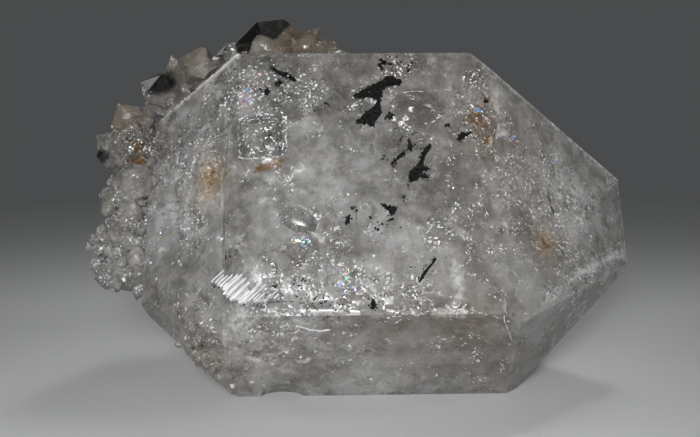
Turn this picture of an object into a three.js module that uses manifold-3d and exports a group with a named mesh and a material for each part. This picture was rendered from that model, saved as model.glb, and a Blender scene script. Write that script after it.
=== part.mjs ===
// A herkimer diamond: one stout quartz crystal with a termination at both ends, lying along X and
// standing on its narrow bottom face, overgrown by smaller crystals, with black anthraxolite set in
// open pockets of its front. Millimetres, +Z up, origin under the middle of the specimen.
import * as THREE from 'three'
import { ConvexGeometry } from 'three/addons/geometries/ConvexGeometry.js'
import { mergeVertices } from 'three/addons/utils/BufferGeometryUtils.js'
import Module from 'manifold-3d'

const wasm = await Module()
wasm.setup()

// ---------------------------------------------------------------- driving dimensions

// Quartz's own angle between a prism face and the rhombohedral face that ends it, in degrees.
const END_SLOPE = 38.2

// The main crystal's six prism faces. facing is the way a face looks, in degrees above the horizontal,
// from the front over the top to the back. out is its distance from the X axis. right and left are where
// it meets its two end faces, measured along X. A slope is given only where growth has tilted the end.
const PRISM = {
  top: { facing: 90, out: 67.6, right: 6, left: 41.5 },
  upperFront: { facing: 29.6, out: 40.1, right: 9, rightSlope: 35.6, left: 39 },
  lowerFront: { facing: -31.6, out: 18.9, right: 12.5, rightSlope: 41.6, left: 43 },
  bottom: { facing: -90, out: 0, right: 14.5, left: 41.5, leftSlope: 39.8 },
  lowerBack: { facing: -150, out: 7.3, right: 10, left: 23 },
  upperBack: { facing: 150, out: 52.5, right: 18, left: 30 },
}

// Growth ledges: flat-topped plates that stand proud of a face. Points are (along, up), seen facing it.
const LEDGE_ROOT = 2
const LEDGE_BEVEL = 0.5
const LEDGES = {
  frontSheet: {
    face: 'upperFront', height: 0.9,
    outline: [
      [-42, 50], [-23, 53], [-20, 40], [-7, 25], [-9, 22], [-3, 24], [1, 18], [2.5, 10.5], [1, 3],
      [-10, 2], [-38, 2.5], [-44, 9], [-45, 30],
    ],
  },
  stripedSheet: {
    face: 'upperFront', height: 1.6,
    outline: [
      [-44, 8.5], [-41.5, 13], [-34, 14], [-28, 12.5], [-22, 6], [-30, 4], [-37.5, 3.5],
    ],
  },
  squareCrystal: {
    face: 'upperFront', height: 2.3, bevel: 1.6,
    outline: [[-40.5, 31.2], [-31.8, 31.2], [-31.5, 40], [-40.7, 39.8]],
  },
  rightTerrace: {
    face: 'rightUpperFront', height: 0.7,
    outline: [[13.5, 11.4], [9.1, 15.6], [9.6, 22.6], [14.2, 27.4], [26, 26.4], [23, 13]],
  },
  backSheet: {
    face: 'lowerBack', height: 0.8,
    outline: [[19, 12], [6, 8.5], [-6, 13], [-9, 27], [-5, 38], [6, 36], [16, 42], [22, 28]],
  },
  backStep: {
    face: 'lowerBack', height: 1.4,
    outline: [[13.5, 16], [3, 13], [-4, 20], [-1, 30], [9, 31], [15, 24]],
  },
}

// Anthraxolite flakes: outlines up the upper front face, and how high the crystal's skin is there.
const FLAKE_DEPTH = 1.5
const FLAKE_CLEARANCE = 0.3
const FLAKES = {
  anthraxolite_fork: {
    skin: 0,
    outline: [
      [-17.6, 45.2], [-14.6, 47.4], [-12.6, 49.2], [-11, 50.7], [-8.4, 50.6], [-7.9, 49], [-10.2, 48.4],
      [-11.2, 46.2], [-11.3, 43.8], [-10.8, 41.6], [-12.6, 39.9], [-13.8, 38], [-16, 38.8], [-17.8, 39.6],
      [-16.2, 41.4], [-13.9, 42.6], [-14.3, 44.8], [-16.2, 44.3],
    ],
  },
  anthraxolite_streak: {
    skin: 0,
    outline: [
      [0.2, 34.8], [-2.2, 33.4], [-3, 31.6], [-4.2, 29.9], [-5.3, 27.6], [-4.7, 25.9], [-2.3, 26.4],
      [-1.8, 28.2], [-2.2, 29.6], [-0.9, 31.6],
    ],
  },
  anthraxolite_left: {
    skin: 0.9,
    outline: [[-34.8, 51.4], [-33, 51.2], [-31.2, 50.2], [-29, 48.6], [-30.6, 47.9], [-33, 49.4]],
  },
  anthraxolite_right: {
    skin: 0,
    outline: [[1.6, 35.4], [2.7, 37.4], [4.9, 38.1], [6.2, 38.6], [4.9, 36.4], [3, 35.7]],
  },
  anthraxolite_wedge: {
    skin: 0.9,
    outline: [[-14, 22.3], [-11.9, 21.8], [-9.9, 22.1], [-10.8, 20], [-11.7, 19.2], [-12.8, 20.6]],
  },
}

// Crystals large enough to name a place for: centre, radius of the prism, length from tip to tip, the
// way the length points, and a turn about it in degrees.
const SATELLITE_UNEVEN = 0.28
const SATELLITES = [
  // along the top, from left to right
  { at: [-71.4, 5, 46.2], radius: 2.6, length: 8.6, points: [-0.5, -0.2, 0.8], turn: 10 },
  { at: [-66.9, 3.5, 54.2], radius: 3.7, length: 9.4, points: [-0.25, -0.6, 0.75], turn: 5 },
  { at: [-58.9, 4, 60.2], radius: 5, length: 12, points: [0.25, -0.7, 0.65], turn: 20 },
  { at: [-51.8, 7, 64.2], radius: 4.6, length: 13.4, points: [0.35, -0.4, 0.85], turn: 40 },
  { at: [-55.8, 8, 61.8], radius: 3.1, length: 13, points: [-0.25, -0.1, 1], turn: 10 },
  { at: [-49, 9.5, 64.5], radius: 2.6, length: 9, points: [0.6, 0.2, 0.7], turn: 15 },
  { at: [-43.4, 6, 67.8], radius: 2.4, length: 8.4, points: [1, 0.3, 0.1], turn: 0 },
  { at: [-35.6, 6.5, 70], radius: 5.8, length: 19, points: [1, 0.3, 0.12], turn: 12 },
  { at: [-27.6, 5, 69], radius: 3.6, length: 11.6, points: [0.5, -0.3, 0.8], turn: 25 },
  { at: [-24.2, 4.5, 68.2], radius: 2.8, length: 9, points: [0.8, -0.2, 0.3], turn: 50 },
  { at: [-21, 5, 67.3], radius: 2.1, length: 7.5, points: [0.9, 0.4, 0.1], turn: 0 },
  // half sunk in the front
  { at: [-29.3, -25, 36.2], radius: 2.5, length: 9, points: [0.92, -0.2, -0.35], turn: 10 },
  { at: [-5.9, -12.6, 55.7], radius: 4.2, length: 15.5, points: [1, 0, 0.03], turn: 29 },
  // on the back and the ends
  { at: [-38, 24, 55], radius: 6, length: 16, points: [-0.8, 0.3, 0.5], turn: 15 },
  { at: [-42, 23, 48], radius: 4.6, length: 13, points: [-0.4, 0.9, 0.2], turn: 0 },
  { at: [-9, 29, 56], radius: 4.6, length: 13, points: [0.5, 0.8, 0.4], turn: 35 },
  { at: [17, 25, 47], radius: 3.8, length: 11, points: [0.7, 0.7, 0.1], turn: 10 },
  { at: [-31, 20, 22], radius: 4.4, length: 12, points: [-0.6, 0.8, -0.1], turn: 20 },
]

// Knots of intergrown crystals: a lumpy core and the crystals that cover it.
const KNOT_CORNERS = 26
// How far out of the core's middle its crystals' own middles lie, as a share.
const KNOT_DEPTH = 0.88
const KNOTS = [
  { at: [-57.5, 7.5, 57], radii: [6.2, 5.2, 4], count: 6, size: [1.3, 2] },
  { at: [-65.5, 5, 48], radii: [5.8, 7, 6.4], count: 10, size: [1.7, 2.8] },
  { at: [-65.2, 2, 37.5], radii: [6, 8.4, 7.6], count: 9, size: [1.7, 2.8] },
  { at: [-64.5, -1, 29.5], radii: [7, 8, 6.8], count: 8, size: [1.7, 2.6] },
  { at: [-72.27, -3, 28.2], radii: [2, 2, 2], count: 3, size: [1.1, 1.5] },
  { at: [-65, -5, 22.4], radii: [8.2, 8, 4.6], count: 12, size: [1.3, 2.1] },
  { at: [-55, 13, 38], radii: [11, 10, 16], count: 14, size: [2, 3.6] },
  { at: [-41.6, -22.2, 5], radii: [3.6, 2.8, 3], count: 8, size: [1.2, 1.9] },
  { at: [-47.5, -21.5, 8.6], radii: [1.6, 1.6, 1.4], count: 3, size: [0.9, 1.3] },
  { at: [-52.8, -18.4, 12.2], radii: [1.2, 1.2, 1.2], count: 3, size: [0.7, 1.1] },
]

// Patches of small crystals strewn over a face: the middle as [x, y, z] near the face, how far they
// spread along and up it, and how far from the main crystal's own setting they may lean, 0 to 1.
const PATCHES = [
  { face: 'upperFront', near: [-33, -12, 60], spread: [11, 5], count: 11, size: [1, 2], lean: 0.5 },
  { face: 'upperFront', near: [-30, -26, 32], spread: [13, 9], count: 7, size: [1.2, 2.6], lean: 0.15 },
  { face: 'upperFront', near: [-20, -17, 50], spread: [5, 4], count: 4, size: [0.9, 1.5], lean: 0.6 },
  { face: 'upperFront', near: [-16, -30, 28], spread: [7, 6], count: 4, size: [1.2, 2.4], lean: 0.2 },
  { face: 'leftUpperFront', near: [-50, -10, 42], spread: [9, 14], count: 13, size: [1, 2.2], lean: 0.4 },
  { face: 'leftLowerFront', near: [-50, -24, 11], spread: [6, 5], count: 5, size: [0.8, 1.5], lean: 0.5 },
  { face: 'lowerFront', near: [-28, -30, 14], spread: [12, 4], count: 6, size: [0.9, 1.7], lean: 0.3 },
  { face: 'rightUpperFront', near: [17, -14, 45], spread: [9, 9], count: 5, size: [0.9, 1.8], lean: 0.3 },
  { face: 'rightUpperFront', near: [30, -12, 29], spread: [6, 5], count: 4, size: [0.9, 1.5], lean: 0.2 },
  { face: 'top', near: [-30, 15, 68], spread: [8, 5], count: 8, size: [1, 2], lean: 0.6 },
  { face: 'upperBack', near: [-8, 27, 55], spread: [16, 5], count: 7, size: [1.2, 2.4], lean: 0.5 },
  { face: 'lowerBack', near: [-6, 22, 24], spread: [12, 12], count: 7, size: [1, 2.4], lean: 0.3 },
  { face: 'rightLowerBack', near: [26, 14, 34], spread: [8, 10], count: 5, size: [1, 2], lean: 0.4 },
  { face: 'leftLowerBack', near: [-44, 8, 22], spread: [8, 9], count: 7, size: [1, 2.2], lean: 0.5 },
]

// Chips broken out of the bottom edge and the corners: centre and radii.
const CHIPS = [
  { at: [-32.6, -24, -0.4], radii: [5, 4.5, 3.2] },
  { at: [43.6, -7.5, 17], radii: [2.6, 3, 4] },
]

const COLOURS = { quartz: 0xc9c6c0, anthraxolite: 0x0e0e10 }

// ---------------------------------------------------------------- small tools

const radians = THREE.MathUtils.degToRad

// A repeatable source of numbers from 0 to 1.
function dice(seed) {
  let state = seed
  return () => {
    state = (state + 0x6d2b79f5) | 0
    let mixed = Math.imul(state ^ (state >>> 15), 1 | state)
    mixed = (mixed + Math.imul(mixed ^ (mixed >>> 7), 61 | mixed)) ^ mixed
    return ((mixed ^ (mixed >>> 14)) >>> 0) / 4294967296
  }
}

const between = (roll, low, high) => low + (high - low) * roll()

// The solid inside a closed geometry.
function solidOf(geometry) {
  const bare = new THREE.BufferGeometry()
  bare.setAttribute('position', geometry.getAttribute('position'))
  if (geometry.index) bare.setIndex(geometry.index)
  const merged = mergeVertices(bare, 1e-4)
  return new wasm.Manifold(new wasm.Mesh({
    numProp: 3,
    vertProperties: new Float32Array(merged.attributes.position.array),
    triVerts: new Uint32Array(merged.index.array),
  }))
}

// The geometry of a solid, for a mesh.
function geometryOf(solid) {
  const mesh = solid.getMesh()
  const geometry = new THREE.BufferGeometry()
  geometry.setAttribute('position', new THREE.BufferAttribute(mesh.vertProperties, 3))
  geometry.setIndex(new THREE.BufferAttribute(mesh.triVerts, 1))
  geometry.computeVertexNormals()
  return geometry
}

// The convex body that lies behind every one of the planes.
function bodyBehind(planes) {
  const corners = []
  const across = new THREE.Matrix3()
  for (let a = 0; a < planes.length; a++) {
    for (let b = a + 1; b < planes.length; b++) {
      for (let c = b + 1; c < planes.length; c++) {
        const [p, q, r] = [planes[a], planes[b], planes[c]]
        across.set(...p.normal, ...q.normal, ...r.normal)
        if (Math.abs(across.determinant()) < 1e-6) continue
        const corner = new THREE.Vector3(p.out, q.out, r.out).applyMatrix3(across.invert())
        if (planes.some((plane) => plane.normal.dot(corner) > plane.out + 1e-6)) continue
        if (corners.every((other) => other.distanceTo(corner) > 1e-3)) corners.push(corner)
      }
    }
  }
  return new ConvexGeometry(corners)
}

// ---------------------------------------------------------------- the main crystal

const capital = (word) => word[0].toUpperCase() + word.slice(1)

// Every face of the main crystal by name: its outward normal and its distance from the origin.
function mainFaces() {
  const faces = {}
  for (const [name, prism] of Object.entries(PRISM)) {
    const facing = radians(prism.facing)
    const normal = new THREE.Vector3(0, -Math.cos(facing), Math.sin(facing))
    faces[name] = { normal, out: prism.out }
    for (const [end, way] of [['right', 1], ['left', -1]]) {
      const slope = radians(prism[end + 'Slope'] ?? END_SLOPE)
      faces[end + capital(name)] = {
        normal: normal.clone().multiplyScalar(Math.cos(slope)).setX(way * Math.sin(slope)),
        out: Math.sin(slope) * prism[end] + Math.cos(slope) * prism.out,
      }
    }
  }
  return faces
}

const FACES = mainFaces()

// A frame on a face: its origin is the foot of the given point, X runs level, Y up and Z outwards.
function frameOn(face, near, lift = 0) {
  const { normal, out } = FACES[face]
  const level = new THREE.Vector3(0, 0, 1).cross(normal)
  if (level.length() < 0.01) level.set(1, 0, 0)
  level.normalize()
  const foot = new THREE.Vector3(...near)
  foot.addScaledVector(normal, out + lift - foot.dot(normal))
  return new THREE.Matrix4().makeBasis(level, normal.clone().cross(level), normal).setPosition(foot)
}

// A flat plate of the given outline, from one height over a face to another.
function plate(face, outline, from, to, edges = { bevelEnabled: false, bevelThickness: 0 }) {
  const shape = new THREE.Shape(outline.map(([x, y]) => new THREE.Vector2(x, y)))
  const geometry = new THREE.ExtrudeGeometry(shape, {
    depth: to - from - 2 * edges.bevelThickness,
    bevelSegments: 1,
    ...edges,
  })
  geometry.translate(0, 0, from + edges.bevelThickness)
  return solidOf(geometry.applyMatrix4(frameOn(face, [0, 0, 0])))
}

const ledge = ({ face, height, outline, bevel = LEDGE_BEVEL }) =>
  plate(face, outline, -LEDGE_ROOT, height, {
    bevelThickness: bevel, bevelSize: bevel, bevelOffset: -bevel,
  })

// ---------------------------------------------------------------- the smaller crystals

// A small doubly ended crystal along Z. uneven, from 0 to 1, sets each face a little in or out.
function smallCrystal(radius, length, uneven, roll) {
  const planes = []
  const slope = radians(END_SLOPE)
  for (let side = 0; side < 6; side++) {
    const turn = (side * Math.PI) / 3
    const outwards = new THREE.Vector3(Math.cos(turn), Math.sin(turn), 0)
    planes.push({ normal: outwards, out: radius * (1 - uneven * roll()) })
    for (const end of [1, -1]) {
      planes.push({
        normal: outwards.clone().multiplyScalar(Math.cos(slope)).setZ(end * Math.sin(slope)),
        out: Math.sin(slope) * (length / 2) * (1 - 0.6 * uneven * roll()),
      })
    }
  }
  return bodyBehind(planes)
}

// Sets a crystal at a place with its length pointing a given way.
function stand(geometry, at, points, turn) {
  const aim = new THREE.Quaternion()
    .setFromUnitVectors(new THREE.Vector3(0, 0, 1), points.clone().normalize())
    .multiply(new THREE.Quaternion().setFromAxisAngle(new THREE.Vector3(0, 0, 1), turn))
  return solidOf(geometry.applyQuaternion(aim).translate(at.x, at.y, at.z))
}

function satellites() {
  const roll = dice(11)
  return SATELLITES.map(({ at, radius, length, points, turn }) =>
    stand(smallCrystal(radius, length, SATELLITE_UNEVEN, roll), new THREE.Vector3(...at),
      new THREE.Vector3(...points), radians(turn)))
}

// A point on a unit ball, spread evenly by the golden angle and then jostled.
function onBall(index, count, roll) {
  const height = 1 - (2 * (index + 0.5)) / count
  const turn = index * Math.PI * (3 - Math.sqrt(5)) + between(roll, -0.3, 0.3)
  const level = Math.sqrt(1 - height * height)
  return new THREE.Vector3(level * Math.cos(turn), level * Math.sin(turn), height)
}

// A knot's core, a flat-sided lump, and its crystals, each pointing roughly outwards.
function knot({ at, radii, count, size }, seed) {
  const roll = dice(seed)
  const middle = new THREE.Vector3(...at)
  const stretch = new THREE.Vector3(...radii)
  const onCore = (_, i) => onBall(i, KNOT_CORNERS, roll).multiply(stretch).add(middle)
  const solids = [solidOf(new ConvexGeometry(Array.from({ length: KNOT_CORNERS }, onCore)))]
  for (let i = 0; i < count; i++) {
    const outwards = onBall(i, count, roll)
    const place = outwards.clone().multiply(stretch).multiplyScalar(KNOT_DEPTH).add(middle)
    const radius = between(roll, ...size)
    const lean = new THREE.Vector3(between(roll, -1, 1), between(roll, -1, 1), between(roll, -1, 1))
    const crystal = smallCrystal(radius, radius * between(roll, 2.8, 3.6), 0, roll)
    solids.push(stand(crystal, place, outwards.add(lean.multiplyScalar(0.7)), roll() * Math.PI))
  }
  return solids
}

// A patch's crystals, strewn in an ellipse over a face and sunk to half their depth.
function patch({ face, near, spread, count, size, lean }, seed) {
  const roll = dice(seed)
  const frame = frameOn(face, near)
  const ahead = new THREE.Vector3(1, 0, 0)
  return Array.from({ length: count }, () => {
    const reach = Math.sqrt(roll())
    const turn = roll() * 2 * Math.PI
    const radius = between(roll, ...size)
    const place = new THREE.Vector3(
      spread[0] * reach * Math.cos(turn),
      spread[1] * reach * Math.sin(turn),
      -radius * between(roll, 0.1, 0.5),
    ).applyMatrix4(frame)
    const stray = new THREE.Vector3(between(roll, -1, 1), between(roll, -1, 1), between(roll, -1, 1))
    const crystal = smallCrystal(radius, radius * between(roll, 2.8, 4), 0, roll)
    return stand(crystal, place, ahead.clone().addScaledVector(stray, 2.5 * lean), roll() * lean)
  })
}

// ---------------------------------------------------------------- anthraxolite

// A flake lies in its pocket with a clearance all round, and its face stands just under the skin.
const flake = ({ skin, outline }) =>
  plate('upperFront', outline, skin - FLAKE_DEPTH, skin - FLAKE_CLEARANCE / 2)

// The pocket is the flake's outline grown by the clearance, open at its mouth.
const pocket = ({ skin, outline }) =>
  plate('upperFront', outline, skin - FLAKE_DEPTH - FLAKE_CLEARANCE, skin + LEDGE_ROOT, {
    bevelThickness: FLAKE_CLEARANCE, bevelSize: 0, bevelOffset: FLAKE_CLEARANCE,
  })

// ---------------------------------------------------------------- the specimen

function quartzSolid() {
  const grown = [
    ...Object.values(LEDGES).map(ledge),
    ...satellites(),
    ...KNOTS.flatMap((one, i) => knot(one, 101 + i)),
    ...PATCHES.flatMap((one, i) => patch(one, 201 + i)),
  ]
  let solid = solidOf(bodyBehind(Object.values(FACES)))
  for (const piece of grown) solid = solid.add(piece)
  for (const { at, radii } of CHIPS) {
    solid = solid.subtract(solidOf(new THREE.IcosahedronGeometry(1, 1).scale(...radii).translate(...at)))
  }
  for (const one of Object.values(FLAKES)) solid = solid.subtract(pocket(one))
  const ground = new THREE.BoxGeometry(400, 400, 40).translate(0, 0, -20)
  return solid.subtract(solidOf(ground))
}

function part(name, solid, material) {
  const mesh = new THREE.Mesh(geometryOf(solid), material)
  mesh.name = name
  return mesh
}

const quartz = new THREE.MeshStandardMaterial({ color: COLOURS.quartz, roughness: 0.12, metalness: 0 })
const anthraxolite = new THREE.MeshStandardMaterial({
  color: COLOURS.anthraxolite, roughness: 0.45, metalness: 0,
})

const specimen = new THREE.Group()
specimen.add(part('quartz_cluster', quartzSolid(), quartz))
for (const [name, one] of Object.entries(FLAKES)) specimen.add(part(name, flake(one), anthraxolite))

// The origin goes under the middle of the specimen.
const bounds = new THREE.Box3().setFromObject(specimen)
const middle = bounds.getCenter(new THREE.Vector3())
specimen.position.set(-middle.x, -middle.y, -bounds.min.z)

export default specimen
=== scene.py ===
"""The looks of a herkimer diamond: a stout quartz crystal, full of veils and glints, that stands on a
flat face, with smaller crystals grown over its left end and black anthraxolite in its front.

Everything is in metres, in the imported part's own frame: +X along the main crystal, +Z up, the front
towards -Y. Sizes of the mineral's own features are in millimetres where a name ends in _mm or where
a docstring says so.
"""
from __future__ import annotations

import logging
import math
from collections.abc import Callable, Iterator, Sequence
from contextlib import contextmanager
from dataclasses import dataclass, field
from enum import Enum
from typing import Any

import bmesh
import bpy
import numpy as np
from mathutils import Euler, Matrix, Quaternion, Vector
from mathutils.bvhtree import BVHTree
from mathutils.kdtree import KDTree


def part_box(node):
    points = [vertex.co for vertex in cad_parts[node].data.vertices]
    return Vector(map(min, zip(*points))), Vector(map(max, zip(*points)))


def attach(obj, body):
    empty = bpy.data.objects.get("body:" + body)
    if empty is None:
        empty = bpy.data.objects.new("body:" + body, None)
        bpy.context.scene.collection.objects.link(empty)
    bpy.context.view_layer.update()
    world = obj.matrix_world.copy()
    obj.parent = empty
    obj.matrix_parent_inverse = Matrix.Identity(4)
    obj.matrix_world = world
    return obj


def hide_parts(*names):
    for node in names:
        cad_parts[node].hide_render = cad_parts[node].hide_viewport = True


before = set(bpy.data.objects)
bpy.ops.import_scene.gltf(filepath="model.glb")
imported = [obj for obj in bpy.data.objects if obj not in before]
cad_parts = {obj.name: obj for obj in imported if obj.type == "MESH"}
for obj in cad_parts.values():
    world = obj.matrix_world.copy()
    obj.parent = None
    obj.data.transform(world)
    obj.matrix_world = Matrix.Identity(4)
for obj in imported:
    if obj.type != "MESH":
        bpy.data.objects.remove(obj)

LOG = logging.getLogger("herkimer_diamond")
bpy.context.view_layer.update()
MM = 0.001
BODY = "root"
LIGHT_BOUNCES = 24
QUARTZ_NODE = "quartz_cluster"
QUARTZ_SLOT = "quartz"
ANTHRAXOLITE_SLOT = "anthraxolite"
# The attribute that tells how many millimetres a corner lies from the main crystal's sharp edges.
RIM = "rim"
FAR_FROM_RIM = 9.0
# A turn of any amount, in radians: a little more than a full one.
ANY_TURN = 6.3

MeshObject = bpy.types.Object
Point = tuple[float, float, float]
FacePoint = tuple[float, float]
Ring = Sequence[FacePoint]
Colour = tuple[float, float, float, float]


def grey(level: float, warmth: float = 0.0) -> Colour:
    """A near-neutral colour; warmth lifts its red and lowers its blue by that share."""
    return (level * (1 + warmth), level, level * (1 - warmth), 1.0)


# -------- places


def eased(share: np.ndarray) -> np.ndarray:
    """A share from 0 to 1 that sets off and arrives gently."""
    return share * share * (3 - 2 * share)


def sides(outline: Ring) -> Iterator[tuple[FacePoint, FacePoint]]:
    """The sides of a closed outline, each as its two ends."""
    return zip(outline, [*outline[1:], outline[0]])


def inside(outline: Ring, x: np.ndarray, y: np.ndarray) -> np.ndarray:
    """Whether points lie inside a closed outline.

    Args:
        outline: its corners in order.
        x: the points' first coordinates.
        y: their second ones.

    Returns:
        A truth value for each.
    """
    crossings = np.zeros(np.shape(x), int)
    for (x0, y0), (x1, y1) in sides(outline):
        if y0 != y1:
            crossings += ((y0 > y) != (y1 > y)) & (x < x0 + (y - y0) * (x1 - x0) / (y1 - y0))
    return crossings % 2 == 1


@dataclass(frozen=True)
class Spot:
    """A round place on or in the specimen, in millimetres.

    Attributes:
        middle: where it is.
        reach: how far out it fades to nothing.
        amount: how strong it is in the middle.
    """

    middle: Point
    reach: float
    amount: float = 1.0

    def weight(self, points_mm: np.ndarray) -> np.ndarray:
        """How strongly each point, a row of an array, lies in the spot: amount at its middle."""
        away = np.linalg.norm(points_mm - np.array(self.middle), axis=1)
        return self.amount * np.exp(-((away / self.reach) ** 2))


@dataclass(frozen=True)
class Streak:
    """A straight band in the specimen, in millimetres, strongest along its line.

    Attributes:
        start: one end of the line.
        end: the other.
        reach: how far out it fades to nothing.
        amount: how strong it is on the line.
    """

    start: Point
    end: Point
    reach: float
    amount: float = 1.0

    def weight(self, points_mm: np.ndarray) -> np.ndarray:
        """How strongly each point lies in the band, as Spot.weight does."""
        start = np.array(self.start)
        run = np.array(self.end) - start
        share = np.clip((points_mm - start) @ run / (run @ run), 0.0, 1.0)
        away = np.linalg.norm(points_mm - start - share[:, None] * run, axis=1)
        return self.amount * np.exp(-((away / self.reach) ** 2))


@dataclass(frozen=True)
class BroadFace:
    """A broad face of the main crystal, in millimetres and degrees.

    Attributes:
        facing: the way it looks, above the horizontal, from the front.
        out: its distance from the line that the crystal grew along.
        start: where along X its own zero lies.
    """

    facing: float
    out: float
    start: float = 16.84

    @property
    def outwards(self) -> Vector:
        """The face's outward normal."""
        turn = math.radians(self.facing)
        return Vector((0.0, -math.cos(turn), math.sin(turn)))

    @property
    def upwards(self) -> Vector:
        """The steepest way up the face."""
        return Vector((1.0, 0.0, 0.0)).cross(self.outwards) * -1.0

    @property
    def turn(self) -> Matrix:
        """What turns a thing made on the ground, seen from above, onto the face."""
        return Matrix((Vector((1.0, 0.0, 0.0)), self.upwards, self.outwards)).transposed()

    def at(self, along: float, up: float, proud: float = 0.0) -> Vector:
        """A point on the face.

        Args:
            along: how far along X from the face's zero.
            up: how far up the face from its foot.
            proud: how far it stands out of the face, or sinks into it when negative.

        Returns:
            The point, in millimetres.
        """
        foot = self.outwards * (self.out + proud)
        return foot + self.upwards * up + Vector((self.start + along, 0.0, 0.0))


UPPER_FRONT = BroadFace(facing=29.6, out=40.1)


@dataclass(frozen=True)
class Panel:
    """A part of the upper front face, inside a closed outline on it, in millimetres.

    Attributes:
        outline: its corners in order, each along and up the face.
        amount: how strong it is inside.
        soft: how far on each side of the outline it fades.
        depth: how far under the face it still counts.
    """

    outline: Ring
    amount: float = 1.0
    soft: float = 0.6
    depth: float = 3.0

    def weight(self, points_mm: np.ndarray) -> np.ndarray:
        """How strongly each point lies in the panel, as Spot.weight does."""
        along = points_mm[:, 0] - UPPER_FRONT.start
        up = points_mm @ np.array(UPPER_FRONT.upwards)
        out = points_mm @ np.array(UPPER_FRONT.outwards)
        away = np.full(len(points_mm), np.inf)
        for (x0, y0), (x1, y1) in sides(self.outline):
            run_x, run_y = x1 - x0, y1 - y0
            share = ((along - x0) * run_x + (up - y0) * run_y) / (run_x**2 + run_y**2)
            share = np.clip(share, 0.0, 1.0)
            away = np.minimum(away, np.hypot(along - x0 - share * run_x, up - y0 - share * run_y))
        inward = np.where(inside(self.outline, along, up), away, -away)
        near = out > UPPER_FRONT.out - self.depth
        return self.amount * near * eased(np.clip(inward / (2 * self.soft) + 0.5, 0.0, 1.0))


Region = Spot | Streak | Panel


def strongest(regions: Sequence[Region], points_mm: np.ndarray) -> np.ndarray:
    """The strongest weight that any of some regions has at each point."""
    return np.max([region.weight(points_mm) for region in regions], axis=0)


def within(regions: Sequence[Region], points_mm: np.ndarray) -> np.ndarray:
    """Whether each point lies within reach of one of some regions of amount 1."""
    return strongest(regions, points_mm) > math.exp(-1)


class Quality(Enum):
    """What the quartz is like in one place or another, by the name of its attribute."""

    CLOUDY = "cloudy"
    CLEAR = "clear"
    FROSTED = "frosted"
    RIMMED = "rimmed"
    BUSY = "busy"
    BROWN = "brown"
    SMOKY = "smoky"
    TANNED = "tanned"
    RUSTED = "rusted"


# The smooth, milky sheet that covers the lower left of the upper front face.
MILKY_SHEET = (
    (-22.8, 36.9), (-18.9, 35.2), (-15, 32.2), (-11.2, 29.7), (-8.5, 26.4), (-6.3, 23.5), (-4, 23.1),
    (-1.5, 19.8), (1.5, 17.4), (3.3, 15), (3.8, 11), (3.1, 5.2), (2.3, 2.9), (-28.3, 2.4), (-39.4, 3.4),
    (-42.3, 13), (-42.7, 23), (-40.2, 28.8), (-30.6, 30.3), (-28.7, 37.8), (-25.2, 41.7),
)
ROUND_CRYSTAL = (
    (-12.3, 41.8), (-10.8, 44.6), (-6.8, 45.8), (-1.5, 45.8), (0.6, 44), (-0.2, 40.9), (-2.6, 39.2),
    (-8.2, 38.7), (-11.7, 39.6),
)
SQUARE_CRYSTAL = ((-40.8, 40.6), (-31.3, 40.4), (-31.2, 33.3), (-32, 32), (-40.3, 32))

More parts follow.
